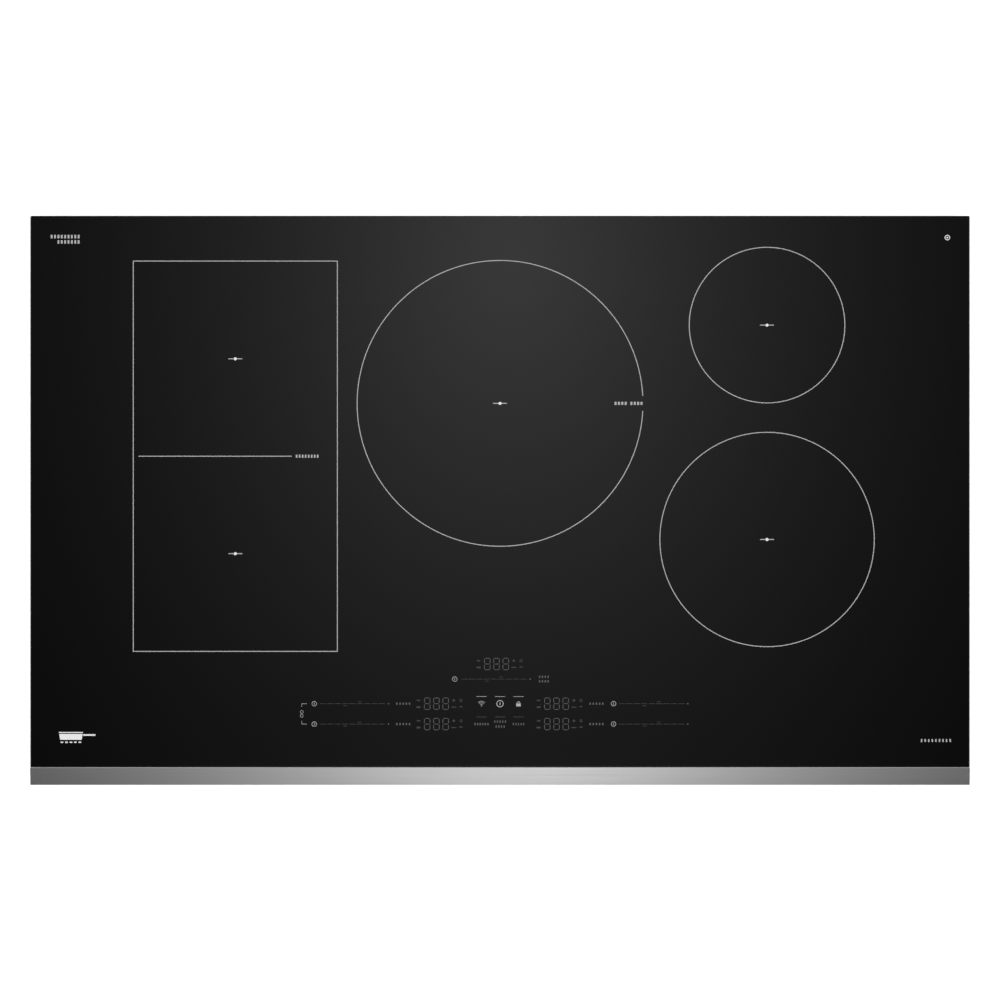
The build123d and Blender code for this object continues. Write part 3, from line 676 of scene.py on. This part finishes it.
for side in ("left", "centre", "right"):
    makeTrayFittings(side)
keySprings = tube("touchSprings", springPaths("touch_springs", touchSpring), touchSpring["thick"],
                  "base", "spring_steel", sides=1)
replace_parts(keySprings, "touch_springs")
print("springs and leads made")


choke = {
    "wire": 1.3 * mm, "turns": 24, "steps": 12, "gap": 36.0, "box": 0.6, "core": 1.1 * mm, "bore": 7 / 19,
}


def roundedWave(value):
    return math.copysign(abs(value) ** choke["box"], value)


def windChokes():
    # ferrite rings, each wound with thick enamelled wire that leaves a gap at its ends
    cores, paths = bmesh.new(), []
    for low, top in solidsOf("chokes"):
        at, outer, tall = (low + top) / 2, (top.x - low.x) / 2, top.z - low.z
        bore, wire = outer * choke["bore"], choke["wire"]
        centre, across, up = (outer + bore) / 2, (outer - bore - wire) / 2, (tall - wire) / 2
        count, points = choke["turns"] * choke["steps"], []
        for step in range(count + 1):
            around = math.radians(choke["gap"] / 2 + (360 - choke["gap"]) * step / count)
            loop = 2 * math.pi * step / choke["steps"]
            reach = centre + across * roundedWave(math.cos(loop))
            z = at.z + up * roundedWave(math.sin(loop))
            points.append((at.x + reach * math.cos(around), at.y + reach * math.sin(around), z))
        paths.append(points)
        inset = choke["core"]
        wide, high = across - inset, up - inset
        ring(cores, at.x, at.y, centre - wide, centre + wide, at.z - high, at.z + high)
    wound = tube("chokeWindings", paths, choke["wire"], "base", "enamelWire", sides=1)
    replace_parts(wound, "chokes")
    piece("chokeCores", cores, "base", "ferrite")


def screwHead(bm, x, y, z, radius, tall, recess=0.5):
    # a round head with a socket sunk into its top
    verts = rod(bm, x, y, z, z + tall, radius, 18)
    faces = {face for vert in verts for face in vert.link_faces}
    top = max(faces, key=lambda face: face.calc_center_median().z)
    bmesh.ops.inset_region(bm, faces=[top], thickness=radius * (1 - recess), depth=0.0)
    inner = bmesh.ops.extrude_discrete_faces(bm, faces=[top])["faces"]
    bmesh.ops.translate(bm, verts=inner[0].verts, vec=(0, 0, -tall * 0.55))


boardKit = {
    "seed": 11, "pitch": (9.0, 8.0), "strip": (-4.0, 62.0, -88.0, 92.0), "clear": 7.0 * mm,
    "screwInset": 6.0 * mm, "supply": ((106.0, 20.0), (52.0, -110.0)),
    "screw": (2.8 * mm, 1.8 * mm),                      # radius and height of a head
    "pole": {"pitch": 22 * mm, "sunk": 8 * mm, "screw": (4.2 * mm, 3 * mm)},
    "spade": (0.4 * mm, 3.1 * mm, 9 * mm),              # half thickness, half width, height
    "sleeve": (4 * mm, 15 * mm, 14),                    # its ends above the board, and its sides
}

smallKit = {
    "shares": {"chip": 0.18, "can": 0.3, "resistor": 0.85, "lengthwise": 0.6},
    "chip": {"half": (2.5 * mm, 2 * mm), "low": 0.2 * mm, "high": 1.7 * mm},
    "legs": {"count": 4, "pitch": 1.27 * mm, "half": (0.2 * mm, 3 * mm), "tall": 0.4 * mm},
    "can": {"radius": 2.5 * mm, "tall": 5.5 * mm, "lid": (2.1 * mm, 5.6 * mm), "sides": 14},
    "resistor": {
        "long": 1.6 * mm, "wide": 0.8 * mm, "tall": 0.6 * mm, "end": 0.45 * mm, "endTall": 0.62 * mm,
    },
}


def placeSmallPart(dice, cases, metal, sleeves, x, y, z):
    # a chip with legs, a round capacitor, a resistor with bright ends, or nothing
    kind, shares = dice.random(), smallKit["shares"]
    if kind < shares["chip"]:
        chip, legs = smallKit["chip"], smallKit["legs"]
        long, wide = chip["half"]
        block(cases, (x - long, y - wide, z + chip["low"]), (x + long, y + wide, z + chip["high"]))
        long, wide = legs["half"]
        for leg in range(legs["count"]):
            at = x + (leg - (legs["count"] - 1) / 2) * legs["pitch"]
            block(metal, (at - long, y - wide, z), (at + long, y + wide, z + legs["tall"]))
    elif kind < shares["can"]:
        can = smallKit["can"]
        lidRadius, lidTop = can["lid"]
        rod(sleeves, x, y, z, z + can["tall"], can["radius"], can["sides"])
        rod(metal, x, y, z + can["tall"], z + lidTop, lidRadius, can["sides"])
    elif kind < shares["resistor"]:
        size = smallKit["resistor"]
        long, wide = size["long"], size["wide"]
        if dice.random() >= shares["lengthwise"]:
            long, wide = wide, long
        block(cases, (x - long, y - wide, z), (x + long, y + wide, z + size["tall"]))
        # the ends sit on the longer axis
        step = Vector((long, 0, 0)) if long > wide else Vector((0, wide, 0))
        half = Vector((size["end"], wide, 0)) if long > wide else Vector((long, size["end"], 0))
        for end in (-1, 1):
            spot = Vector((x, y, z)) + end * step
            block(metal, spot - half, spot + half + Vector((0, 0, size["endTall"])))


def fillBoards():
    dice = random.Random(boardKit["seed"])
    cases, metal, sleeves = bmesh.new(), bmesh.new(), bmesh.new()
    landings = [end for side in ("left", "centre", "right") for start, end in leadPlaces(side)]
    boards = solidsOf("power_boards")
    for low, high in boards:
        x0, y0, z = (low.x + high.x) / 2, 0.0, high.z
        left, right, front, back = (value * mm for value in boardKit["strip"])
        taken = landings + [Vector((x0 + x * mm, y * mm, z)) for x, y in boardKit["supply"]]
        for row in range(int((back - front) / (boardKit["pitch"][1] * mm))):
            for column in range(int((right - left) / (boardKit["pitch"][0] * mm))):
                x = x0 + left + (column + 0.5) * boardKit["pitch"][0] * mm
                y = y0 + front + (row + 0.5) * boardKit["pitch"][1] * mm
                if all((Vector((x, y)) - spot.to_2d()).length > boardKit["clear"] for spot in taken):
                    placeSmallPart(dice, cases, metal, sleeves, x, y, z)
    fillFilterBoard(cases, sleeves, metal)
    for low, high in boards + [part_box("filter_board")]:
        inset = boardKit["screwInset"]
        for x in (low.x + inset, high.x - inset):
            for y in (low.y + inset, high.y - inset):
                screwHead(metal, x, y, high.z, *boardKit["screw"])
    terminals, pole = middle("terminal_block"), boardKit["pole"]
    for side in (-1, 0, 1):
        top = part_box("terminal_block")[1].z
        x = terminals.x + side * pole["pitch"]
        screwHead(metal, x, terminals.y, top - pole["sunk"], *pole["screw"])
    spade = Vector((*boardKit["spade"][:2], 0))
    bottom, top, sides = boardKit["sleeve"]
    for spot in landings:
        block(metal, spot - spade, spot + spade + Vector((0, 0, boardKit["spade"][2])))
        rod(cases, spot.x, spot.y, spot.z + bottom, spot.z + top, lead["sleeve"] / 2, sides)
    piece("boardChips", cases, "base", "chip_black")
    piece("boardMetal", metal, "base", "bright_zinc")
    piece("boardCapacitors", sleeves, "base", "capacitor_case")


# blocks on the filter board as left, front, bottom, right, back, top, from the board's corner
filterKit = {
    "relay": (14, 10, 0, 34, 26, 16),
    "film": ((42, 10, 0, 68, 20, 18), (42, 26, 0, 68, 36, 18)),
    "varistor": {"at": (86, 22), "radius": 9, "tall": 22, "sides": 28},
    "fuseEnds": ((16, 40, 0, 19, 46, 7), (36, 40, 0, 39, 46, 7)),
    "fuse": (19, 41, 2, 36, 45, 6),
}


def fillFilterBoard(cases, sleeves, metal):
    # relay, film capacitors, varistor and fuse between the supply wires and the power boards
    low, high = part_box("filter_board")
    corner = Vector((low.x, low.y, high.z))

    def place(bm, box):
        block(bm, corner + Vector(box[:3]) * mm, corner + Vector(box[3:]) * mm)

    place(cases, filterKit["relay"])
    for box in filterKit["film"]:
        place(sleeves, box)
    varistor = filterKit["varistor"]
    spot = corner + Vector((*varistor["at"], 0)) * mm
    radius, tall = varistor["radius"] * mm, varistor["tall"] * mm
    rod(sleeves, *spot, spot.z + tall, radius, varistor["sides"])
    for box in filterKit["fuseEnds"]:
        place(metal, box)
    place(sleeves, filterKit["fuse"])


stator = {
    "bore": 1.6 * mm, "clear": 0.2 * mm, "hub": 4.5 * mm, "poles": 6, "seat": 3.0 * mm,
    "poleAt": 7 * mm, "arm": (2.6, 1.3), "coil": (2.0, 2.3), "inset": 2 * mm,
    "shoe": (9.4, 11.8), "shoeSweep": 46, "shoeInset": 1 * mm,
}


def makeStators():
    # laminated hubs with six poles, each pole inside its own copper bobbin
    cores, bobbins = bmesh.new(), bmesh.new()
    for low, high in solidsOf("fan_stators"):
        x, y = (low.x + high.x) / 2, (low.y + high.y) / 2
        top, bottom = high.z - stator["seat"], low.z
        ring(cores, x, y, stator["bore"] + stator["clear"], stator["hub"], bottom, top)
        ring(cores, x, y, stator["bore"], (high.x - low.x) / 2, top, high.z)
        for pole in range(stator["poles"]):
            angle = pole * 360 / stator["poles"]
            turn = math.radians(angle)
            reach, inset = stator["poleAt"], stator["inset"]
            spot = Vector((x + reach * math.cos(turn), y + reach * math.sin(turn), 0))
            arm, coil = (Vector((*stator[name], 0)) * mm for name in ("arm", "coil"))
            up, down = Vector((0, 0, top - inset)), Vector((0, 0, bottom + inset))
            block(cores, spot - arm + down, spot + arm + up, turn)
            block(bobbins, spot - coil + down * 1.02, spot + coil + up * 0.98, turn)
            inner, outer = (edge * mm for edge in stator["shoe"])
            sweep, inset = stator["shoeSweep"], stator["shoeInset"]
            ring(cores, x, y, inner, outer, bottom + inset, top - inset, angle - sweep / 2, sweep, 8)
    laminated = piece("statorCores", cores, "base", "motor_core")
    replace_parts(laminated, "fan_stators")
    piece("statorCoils", bobbins, "base", "enamelWire")


trimSeal = {"inset": 0.3 * mm, "wide": 0.2 * mm, "sunk": 0.9 * mm, "deep": 2.6 * mm}


def sealTrim():
    # black silicone in the joint between the glass and the steel strip
    bm, strip = bmesh.new(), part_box("front_trim")
    front = glassLow.y - trimSeal["wide"]
    block(bm, (strip[0].x + trimSeal["inset"], front, glassHigh.z - trimSeal["deep"]),
          (strip[1].x - trimSeal["inset"], glassLow.y, glassHigh.z - trimSeal["sunk"]))
    piece("trimSeal", bm, "base", "silicone")


windChokes()
fillBoards()
makeStators()
sealTrim()
print("boards and motors filled")


ink = {
    "low": glassHigh.z, "high": glassHigh.z + 0.04 * mm, "line": 0.8 * mm, "fine": 0.5 * mm, "steps": 96,
}


def printed(name, bm, finish):
    piece(name, bm, "base", finish)


def bar(bm, x, y, length, wide=ink["fine"], turn=0.0):
    low, high = (x - length / 2, y - wide / 2, ink["low"]), (x + length / 2, y + wide / 2, ink["high"])
    block(bm, low, high, turn)


def dot(bm, x, y, radius, sides=20):
    rod(bm, x, y, ink["low"], ink["high"], radius, sides)


def arc(bm, x, y, radius, wide=ink["fine"], start=0.0, sweep=360.0, steps=24):
    ring(bm, x, y, radius - wide / 2, radius + wide / 2, ink["low"], ink["high"], start, sweep, steps)


def frameLine(bm, x, y, wide, deep, line):
    # a rectangle of four printed bars
    for side in (-1, 1):
        bar(bm, x, y + side * deep / 2, wide + line, line)
        bar(bm, x + side * wide / 2, y, deep - line * 0.98, line, math.pi / 2)


def wordBlocks(bm, left, y, tall, count, pitch, fill=0.6):
    # a row of plain blocks in place of a printed word, from its left end
    for step in range(count):
        bar(bm, left + (step + 0.5) * pitch, y, pitch * fill, tall)


def millimetreWord(bm, left, y, tall, count, pitch, fill):
    wordBlocks(bm, left, y, tall * mm, count, pitch * mm, fill)


zoneInk = {
    "rings": {"winding_centre_outer": 280.1, "winding_right_rear": 152.5, "winding_right_front": 210.1},
    "gap": 3.03,                  # half the break in the centre ring, in degrees
    "flex": (200.0, 382.5),
    "divider": (-94.8, 55.3),     # its ends, from the middle of the flex zone
    "mark": 13.7, "markWide": 0.85, "dot": 1.5,
    "centreWord": (111.6, 3.3), "flexWord": (58.6, 2.95), "wordTall": 3.0, "letters": 4,
}


def printZones():
    bm = bmesh.new()
    for node, across in zoneInk["rings"].items():
        at = middle(node)
        broken = node == "winding_centre_outer"
        start = zoneInk["gap"] if broken else 0.0
        arc(bm, at.x, at.y, across / 2 * mm, ink["line"], start, 360 - 2 * start, ink["steps"] * 2)
    rear, front = middle("winding_left_rear"), middle("winding_left_front")
    x, y = rear.x, (rear.y + front.y) / 2
    wide, deep = (size * mm for size in zoneInk["flex"])
    frameLine(bm, x, y, wide, deep, ink["line"])
    left, right = (end * mm for end in zoneInk["divider"])
    bar(bm, x + (left + right) / 2, y, right - left, ink["line"])
    printed("zoneLines", bm, "inkLine")
    return Vector((x, y, 0))


def printZoneWords(flexMiddle):
    # two short words for each label, inside the centre ring's break and after the divider
    bm = bmesh.new()
    centre = middle("winding_centre_outer")
    tall, letters = zoneInk["wordTall"] * mm, zoneInk["letters"]
    start, pitch = (value * mm for value in zoneInk["centreWord"])
    for word in (0, 1):
        left = centre.x + start + word * (letters + 0.7) * pitch
        wordBlocks(bm, left, centre.y, tall, letters, pitch)
    start, pitch = (value * mm for value in zoneInk["flexWord"])
    wordBlocks(bm, flexMiddle.x + start, flexMiddle.y, tall, letters * 2, pitch, 0.5)
    printed("zoneWords", bm, "inkLine")


def printZoneCentres():
    lines, dots = bmesh.new(), bmesh.new()
    for node in ("winding_left_rear", "winding_left_front", "winding_centre_outer",
                 "winding_right_rear", "winding_right_front"):
        at = middle(node)
        bar(lines, at.x, at.y, zoneInk["mark"] * mm, zoneInk["markWide"] * mm)
        dot(dots, at.x, at.y, zoneInk["dot"] * mm)
    for vert in dots.verts:
        vert.co.z += 0.01 * mm
    printed("zoneCentreLines", lines, "inkLine")
    printed("zoneCentreDots", dots, "inkWhite")


panel = {
    "rows": (-199.3, -219.3), "timerRow": -175.2, "timerDisplay": (-3.4, -160.4),
    "displays": (-62.3, 55.4), "sliders": (-176.7, 116.6), "timerSlider": -37.9,
    "digit": (6.1, 11.8), "bars": (4.3, 4.2), "digitPitch": 9.05, "stroke": 0.6,
    "dash": 6.1, "dashPitch": 7.25, "dashes": 9, "keys": (-18.1, 0.0, 18.1), "keyBar": (9.9, 0.56),
    "modes": (-102.6, 86.8), "power": (2.25, 0.46), "mainPower": (3.2, 0.68),
    "powerGap": 5.3, "timerGap": 6.4,                   # from a power mark to its slider
    # blocks of a word: height, count, pitch, fill
    "modeWord": (2.1, 5, 3.1, 0.46), "timerWord": (2.2, 4, 2.8, 0.45), "timerWordAt": (37.4, 2.2),
}


def digit(bm, x, y):
    # the seven bars of one figure, with open corners
    wide, tall = (size * mm for size in panel["digit"])
    flat, upright = (size * mm for size in panel["bars"])
    stroke = panel["stroke"] * mm
    for level in (-1, 0, 1):
        bar(bm, x, y + level * (tall - stroke) / 2, flat, stroke)
    for side in (-1, 1):
        for level in (-1, 1):
            bar(bm, x + side * (wide - stroke) / 2, y + level * tall / 4, upright, stroke, math.pi / 2)


displayInk = {
    "rows": (3.2, -3.4),                                # the two rows of lamps
    # each bar lamp: across, row, length, width
    "lamps": ((-17.6, 0, 3.4, 1.2), (-17.6, 1, 3.8, 1.6), (17, 1, 4.8, 0.9)),
    "dot": (17, 1.2), "ring": (24, 1.1, 0.6), "arch": (24, 0.6, 1.4, 0.9), "archTurn": (20, 140),
}


def display(bm, faint, x, y):
    # three figures with four lamps on the right and two on the left
    for step in (-1, 0, 1):
        digit(bm, x + step * panel["digitPitch"] * mm, y)
    above, below = (y + row * mm for row in displayInk["rows"])
    for across, row, length, wide in displayInk["lamps"]:
        bar(faint, x + across * mm, (above, below)[row], length * mm, wide * mm)
    across, radius = (size * mm for size in displayInk["dot"])
    dot(faint, x + across, above, radius)
    across, radius, wide = (size * mm for size in displayInk["ring"])
    arc(faint, x + across, above, radius, wide)
    across, drop, radius, wide = (size * mm for size in displayInk["arch"])
    arc(faint, x + across, below - drop, radius, wide, *displayInk["archTurn"], 10)


sliderInk = {"wide": 0.45, "end": (67.4, 0.7), "ticks": ((25, -2.0), (39, 2.0)), "tick": 3.6}


def slider(bm, bright, x, y):
    # a dashed line with two ticks and an end dot; x is the line's left end
    wide = sliderInk["wide"] * mm
    for step in range(panel["dashes"]):
        at = step * panel["dashPitch"] + panel["dash"] / 2
        bar(bm, x + at * mm, y, panel["dash"] * mm, wide)
    across, radius = (size * mm for size in sliderInk["end"])
    dot(bright, x + across, y, radius)
    for across, rise in sliderInk["ticks"]:
        bar(bm, x + across * mm, y + rise * mm, sliderInk["tick"] * mm, wide)


def powerMark(bm, x, y, radius, wide):
    arc(bm, x, y, radius, wide)
    bar(bm, x, y, radius * 0.95, wide, math.pi / 2)


def printControls():
    rings, bright, figures, faint = (bmesh.new() for layer in range(4))
    power = [size * mm for size in panel["power"]]
    for row in panel["rows"]:
        y = row * mm
        for x in panel["displays"]:
            display(figures, faint, x * mm, y)
        for x in panel["sliders"]:
            slider(faint, figures, x * mm, y)
            powerMark(rings, (x - panel["powerGap"]) * mm, y, *power)
        for x in panel["modes"]:
            millimetreWord(figures, x * mm, y, *panel["modeWord"])
    y = panel["timerRow"] * mm
    slider(faint, figures, panel["timerSlider"] * mm, y)
    powerMark(rings, (panel["timerSlider"] - panel["timerGap"]) * mm, y, *power)
    left, apart = (place * mm for place in panel["timerWordAt"])
    for level in (-1, 1):
        millimetreWord(figures, left, y + level * apart, *panel["timerWord"])
    display(figures, faint, panel["timerDisplay"][0] * mm, panel["timerDisplay"][1] * mm)
    printKeys(rings, bright, faint, figures)
    printLink(bright)
    printed("powerMarks", rings, "inkLine")
    printed("controlMarks", bright, "inkKey")
    printed("displayFigures", figures, "inkFigure")
    printed("controlLines", faint, "inkDim")


keyInk = {
    "above": 7.0,
    # each word: key, left end from the key, rise above the words' row, height, count, pitch, fill
    "words": (
        (0, -7.7, 0.0, 2.2, 6, 2.55, 0.5), (2, -6.2, 0.0, 2.2, 5, 2.5, 0.42),
        (1, -6.4, 2.4, 2.3, 5, 2.6, 0.42), (1, -5.0, -2.4, 2.3, 4, 2.6, 0.42),
    ),
    "waves": (1.7, 3.2, 4.7), "waveDrop": 2.3, "waveDot": (2.1, 0.6), "wide": 0.55,
    "lock": (2.2, 2.6, 0.2),       # half width, bottom and top
    "shackle": (0.4, 1.5),         # rise and radius
}


def printKeys(rings, bright, faint, figures):
    row, label = panel["rows"][0] * mm, panel["rows"][1] * mm
    length, wide = (size * mm for size in panel["keyBar"])
    keys, above = [x * mm for x in panel["keys"]], keyInk["above"] * mm
    for x in keys:
        bar(bright, x, row + above, length, wide)
        bar(faint, x, label + above, length, wide)
    for key, across, rise, *word in keyInk["words"]:
        millimetreWord(figures, keys[key] + across * mm, label + rise * mm, *word)
    left, centre, right = keys
    wide = keyInk["wide"] * mm
    for radius in keyInk["waves"]:
        arc(bright, left, row - keyInk["waveDrop"] * mm, radius * mm, wide, 45, 90, 8)
    drop, radius = (size * mm for size in keyInk["waveDot"])
    dot(bright, left, row - drop, radius)
    powerMark(rings, centre, row, *(size * mm for size in panel["mainPower"]))
    half, bottom, top = (size * mm for size in keyInk["lock"])
    block(rings, (right - half, row - bottom, ink["low"]), (right + half, row + top, ink["high"]))
    rise, radius = (size * mm for size in keyInk["shackle"])
    arc(rings, right, row + rise, radius, wide, 0, 180, 12)


linkInk = {"x": -194.3, "wide": 0.46, "arm": (2.5, 5.2), "post": (1.6, 3.0), "ring": (1.9, 1.45)}


def printLink(bm):
    # the bracket and two rings that pair the left-hand rows
    rear, front = (row * mm for row in panel["rows"])
    x, wide = linkInk["x"] * mm, linkInk["wide"] * mm
    along, arm = (size * mm for size in linkInk["arm"])
    away, post = (size * mm for size in linkInk["post"])
    apart, radius = (size * mm for size in linkInk["ring"])
    for y, side in ((rear, -1), (front, 1)):
        bar(bm, x + along, y, arm, wide)
        bar(bm, x, y + side * away, post, wide, math.pi / 2)
    for side in (-1, 1):
        arc(bm, x, (rear + front) / 2 + side * apart, radius, wide)


cornerInk = {
    "note": (-441.0, 258.4), "pan": (-419.0, -231.5), "word": (411.4, -235.4), "ring": (438.4, 257.5),
    # rows of blocks: right, up, then height, count, pitch, fill
    "noteRows": ((0, 0, 3.4, 9, 3.3, 0.54), (6.6, -5.2, 3.4, 7, 3.3, 0.54)),
    "wordRow": (2.8, 9, 3.5, 0.4),
    "panBase": (-12, 9), "panRim": (-13, 10), "panTall": (-3.2, 2.6),
    "handle": (16.5, 1.5, 12, 1.5), "lid": (-1.5, 4.0, 23.6, 0.9),    # right, up, length, width
    "heat": {"bars": 5, "start": -10.3, "pitch": 4.4, "down": 5.6, "size": (2.6, 1.2)},
    "ringSize": (2.3, 0.7, 0.8),                        # radius, line and dot
}


def printPan(bm, x, y):
    # a pan with its lid and handle over a row of heat bars
    names = ("panBase", "panRim", "panTall")
    base, rim, tall = ([size * mm for size in cornerInk[name]] for name in names)
    low, high = (x + base[0], y + tall[0], ink["low"]), (x + base[1], y + tall[1], ink["high"])
    body = block(bm, low, high)
    for vert in body:
        if vert.co.y > y:
            vert.co.x = min((x + end for end in rim), key=lambda end: abs(end - vert.co.x))
    for name in ("handle", "lid"):
        across, up, length, wide = (size * mm for size in cornerInk[name])
        bar(bm, x + across, y + up, length, wide)
    heat = cornerInk["heat"]
    length, wide = (size * mm for size in heat["size"])
    for step in range(heat["bars"]):
        across = step * heat["pitch"] + heat["start"]
        bar(bm, x + across * mm, y - heat["down"] * mm, length, wide)


def printCorners():
    # plain signs near the corners: two rows of blocks, a pan, a row of blocks and a ring
    white, line = bmesh.new(), bmesh.new()
    names = ("note", "pan", "word", "ring")
    note, pan, word, spot = ([value * mm for value in cornerInk[name]] for name in names)
    for across, up, *blocks in cornerInk["noteRows"]:
        millimetreWord(line, note[0] + across * mm, note[1] + up * mm, *blocks)
    printPan(white, *pan)
    millimetreWord(line, *word, *cornerInk["wordRow"])
    radius, wide, centre = (size * mm for size in cornerInk["ringSize"])
    arc(white, *spot, radius, wide)
    dot(white, *spot, centre)
    printed("cornerSigns", white, "inkWhite")
    printed("cornerWords", line, "inkLine")


printZoneWords(printZones())
printZoneCentres()
printControls()
printCorners()
print("printed marks made")


stage = {
    "lens": 100.0, "view": 0.98, "aim": (0.0, 0.0003),
    "lightHeight": 4.6, "lightPeak": 0.93, "lightRest": 0.016,
    "spot": (0.012, 0.24), "spread": (0.26, 0.35), "falloff": 1.25,
    "stripSpot": (0.055, -1.4), "stripSpread": (0.62, 0.5), "stripPeak": 1.24,
    "stripFall": 1.15, "stripEdge": 4.0,
    "fillSize": 1.2, "fillHeight": 4.5, "fillPower": 150.0,
    "floorTone": 0.8, "floorGlow": 0.55, "floorReach": 30.0, "floorGap": 0.5 * mm, "viewEnd": 60.0,
    "backdrop": 1.0, "lightReach": 3.2,
    "room": ((0.1, 0.9), (0.34, 0.32), (0.5, 0.34), (0.7, 0.62), (0.85, 0.5), (0.97, 0.24)),
}


def makeCamera():
    data = bpy.data.cameras.new("viewCamera")
    data.lens = stage["lens"]
    height = stage["view"] / 2 / (data.sensor_width / 2 / data.lens)
    camera = bpy.data.objects.new("viewCamera", data)
    camera.location = (*stage["aim"], glassHigh.z + height)
    data.clip_end = stage["viewEnd"]
    bpy.context.scene.collection.objects.link(camera)
    bpy.context.scene.camera = camera
    return height


def stagePlane(name, size, z, surface, facing=1):
    bm = bmesh.new()
    spot = Matrix.Translation((0, 0, z))
    bmesh.ops.create_grid(bm, x_segments=1, y_segments=1, size=size, matrix=spot)
    if facing < 0:
        bmesh.ops.reverse_faces(bm, faces=bm.faces)
    mesh = bpy.data.meshes.new(name)
    bm.to_mesh(mesh)
    bm.free()
    material = bpy.data.materials.new(name)
    material.use_nodes = True
    tree = material.node_tree
    tree.nodes.clear()
    place = Wire(tree, tree.nodes.new("ShaderNodeTexCoord").outputs["Object"])
    place.node("ShaderNodeOutputMaterial", {}, {"Surface": surface(place)}, None)
    mesh.materials.append(material)
    made = bpy.data.objects.new(name, mesh)
    bpy.context.scene.collection.objects.link(made)
    return made


def softLight(cameraHeight):
    # a wide overhead diffuser, brightest above the back of the plate and fading outwards
    reach = 1 + stage["lightHeight"] / cameraHeight

    def surface(place):
        across = (axisOf(place, "X") - stage["spot"][0] * reach) / (stage["spread"][0] * reach)
        along = (axisOf(place, "Y") - stage["spot"][1] * reach) / (stage["spread"][1] * reach)
        distance = (across * across + along * along) ** (stage["falloff"] / 2)
        fade = unary(distance * -1.0, "EXPONENT")
        level = between(fade, stage["lightRest"], stage["lightPeak"])
        # the sloping strip mirrors a second, longer glow further forward
        beside, ahead = (
            unary(axisOf(place, axis) - spot, "ABSOLUTE") / spread
            for axis, spot, spread in zip("XY", stage["stripSpot"], stage["stripSpread"])
        )
        away = beside ** stage["stripFall"] + ahead ** stage["stripEdge"]
        level = level + unary(away * -1.0, "EXPONENT") * stage["stripPeak"]
        return place.node("ShaderNodeEmission", {}, {"Color": grey(1.0), "Strength": level})

    height = glassHigh.z + stage["lightHeight"]
    return stagePlane("softLight", stage["lightReach"], height, surface, facing=-1)


def floorSurface(place):
    # pale from above and clear from below, so that the object's underside can be seen
    tone = noise(place, 3.0)
    colour = mix(tone, grey(stage["floorTone"] - 0.01), grey(stage["floorTone"] + 0.01))
    pale = place.node("ShaderNodeBsdfPrincipled", {}, {
        "Base Color": colour, "Roughness": 0.9,
        "Emission Color": grey(1.0), "Emission Strength": stage["floorGlow"],
    })
    clear = place.node("ShaderNodeBsdfTransparent", {}, {})
    underneath = place.node("ShaderNodeNewGeometry", {}, {}, "Backfacing")
    return place.node("ShaderNodeMixShader", {}, {0: underneath, 1: pale, 2: clear})


def makeLights():
    lamp = bpy.data.lights.new("fillPanel", "AREA")
    lamp.energy = stage["fillPower"]
    lamp.size = stage["fillSize"]
    fill = bpy.data.objects.new("fillPanel", lamp)
    fill.location = (0, 0, glassHigh.z + stage["fillHeight"])
    fill.visible_glossy = False
    bpy.context.scene.collection.objects.link(fill)
    world = bpy.data.worlds.new("paleRoom")
    world.use_nodes = True
    tree = world.node_tree
    tree.nodes.clear()
    ahead = Wire(tree, tree.nodes.new("ShaderNodeTexCoord").outputs["Generated"])
    # a bright room for everything that mirrors it, with plain white behind the object
    room = ramp(axisOf(ahead, "Z"), *((height, grey(level)) for height, level in stage["room"]))
    seen = ahead.node("ShaderNodeLightPath", {}, {}, "Is Camera Ray")
    colour = mix(seen, room, grey(stage["backdrop"]))
    glow = ahead.node("ShaderNodeBackground", {}, {"Color": colour, "Strength": 1.0})
    ahead.node("ShaderNodeOutputWorld", {}, {"Surface": glow}, None)
    bpy.context.scene.world = world
    bpy.context.scene.view_settings.view_transform = "Standard"


def floorHeight():
    # low enough to clear a clamp screw that is let all the way down
    heads = []
    for joint in frame["joints"]:
        if joint["name"].startswith("clamp"):
            screw = "clamp_screw_" + joint["name"].split("_")[1]
            heads.append(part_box(screw)[0].z + joint["range_m"][0])
    return min(cadBox[0].z, *heads) - stage["floorGap"]


softLight(makeCamera())
stagePlane("floor", stage["floorReach"], floorHeight(), floorSurface)
makeLights()
print("stage made")
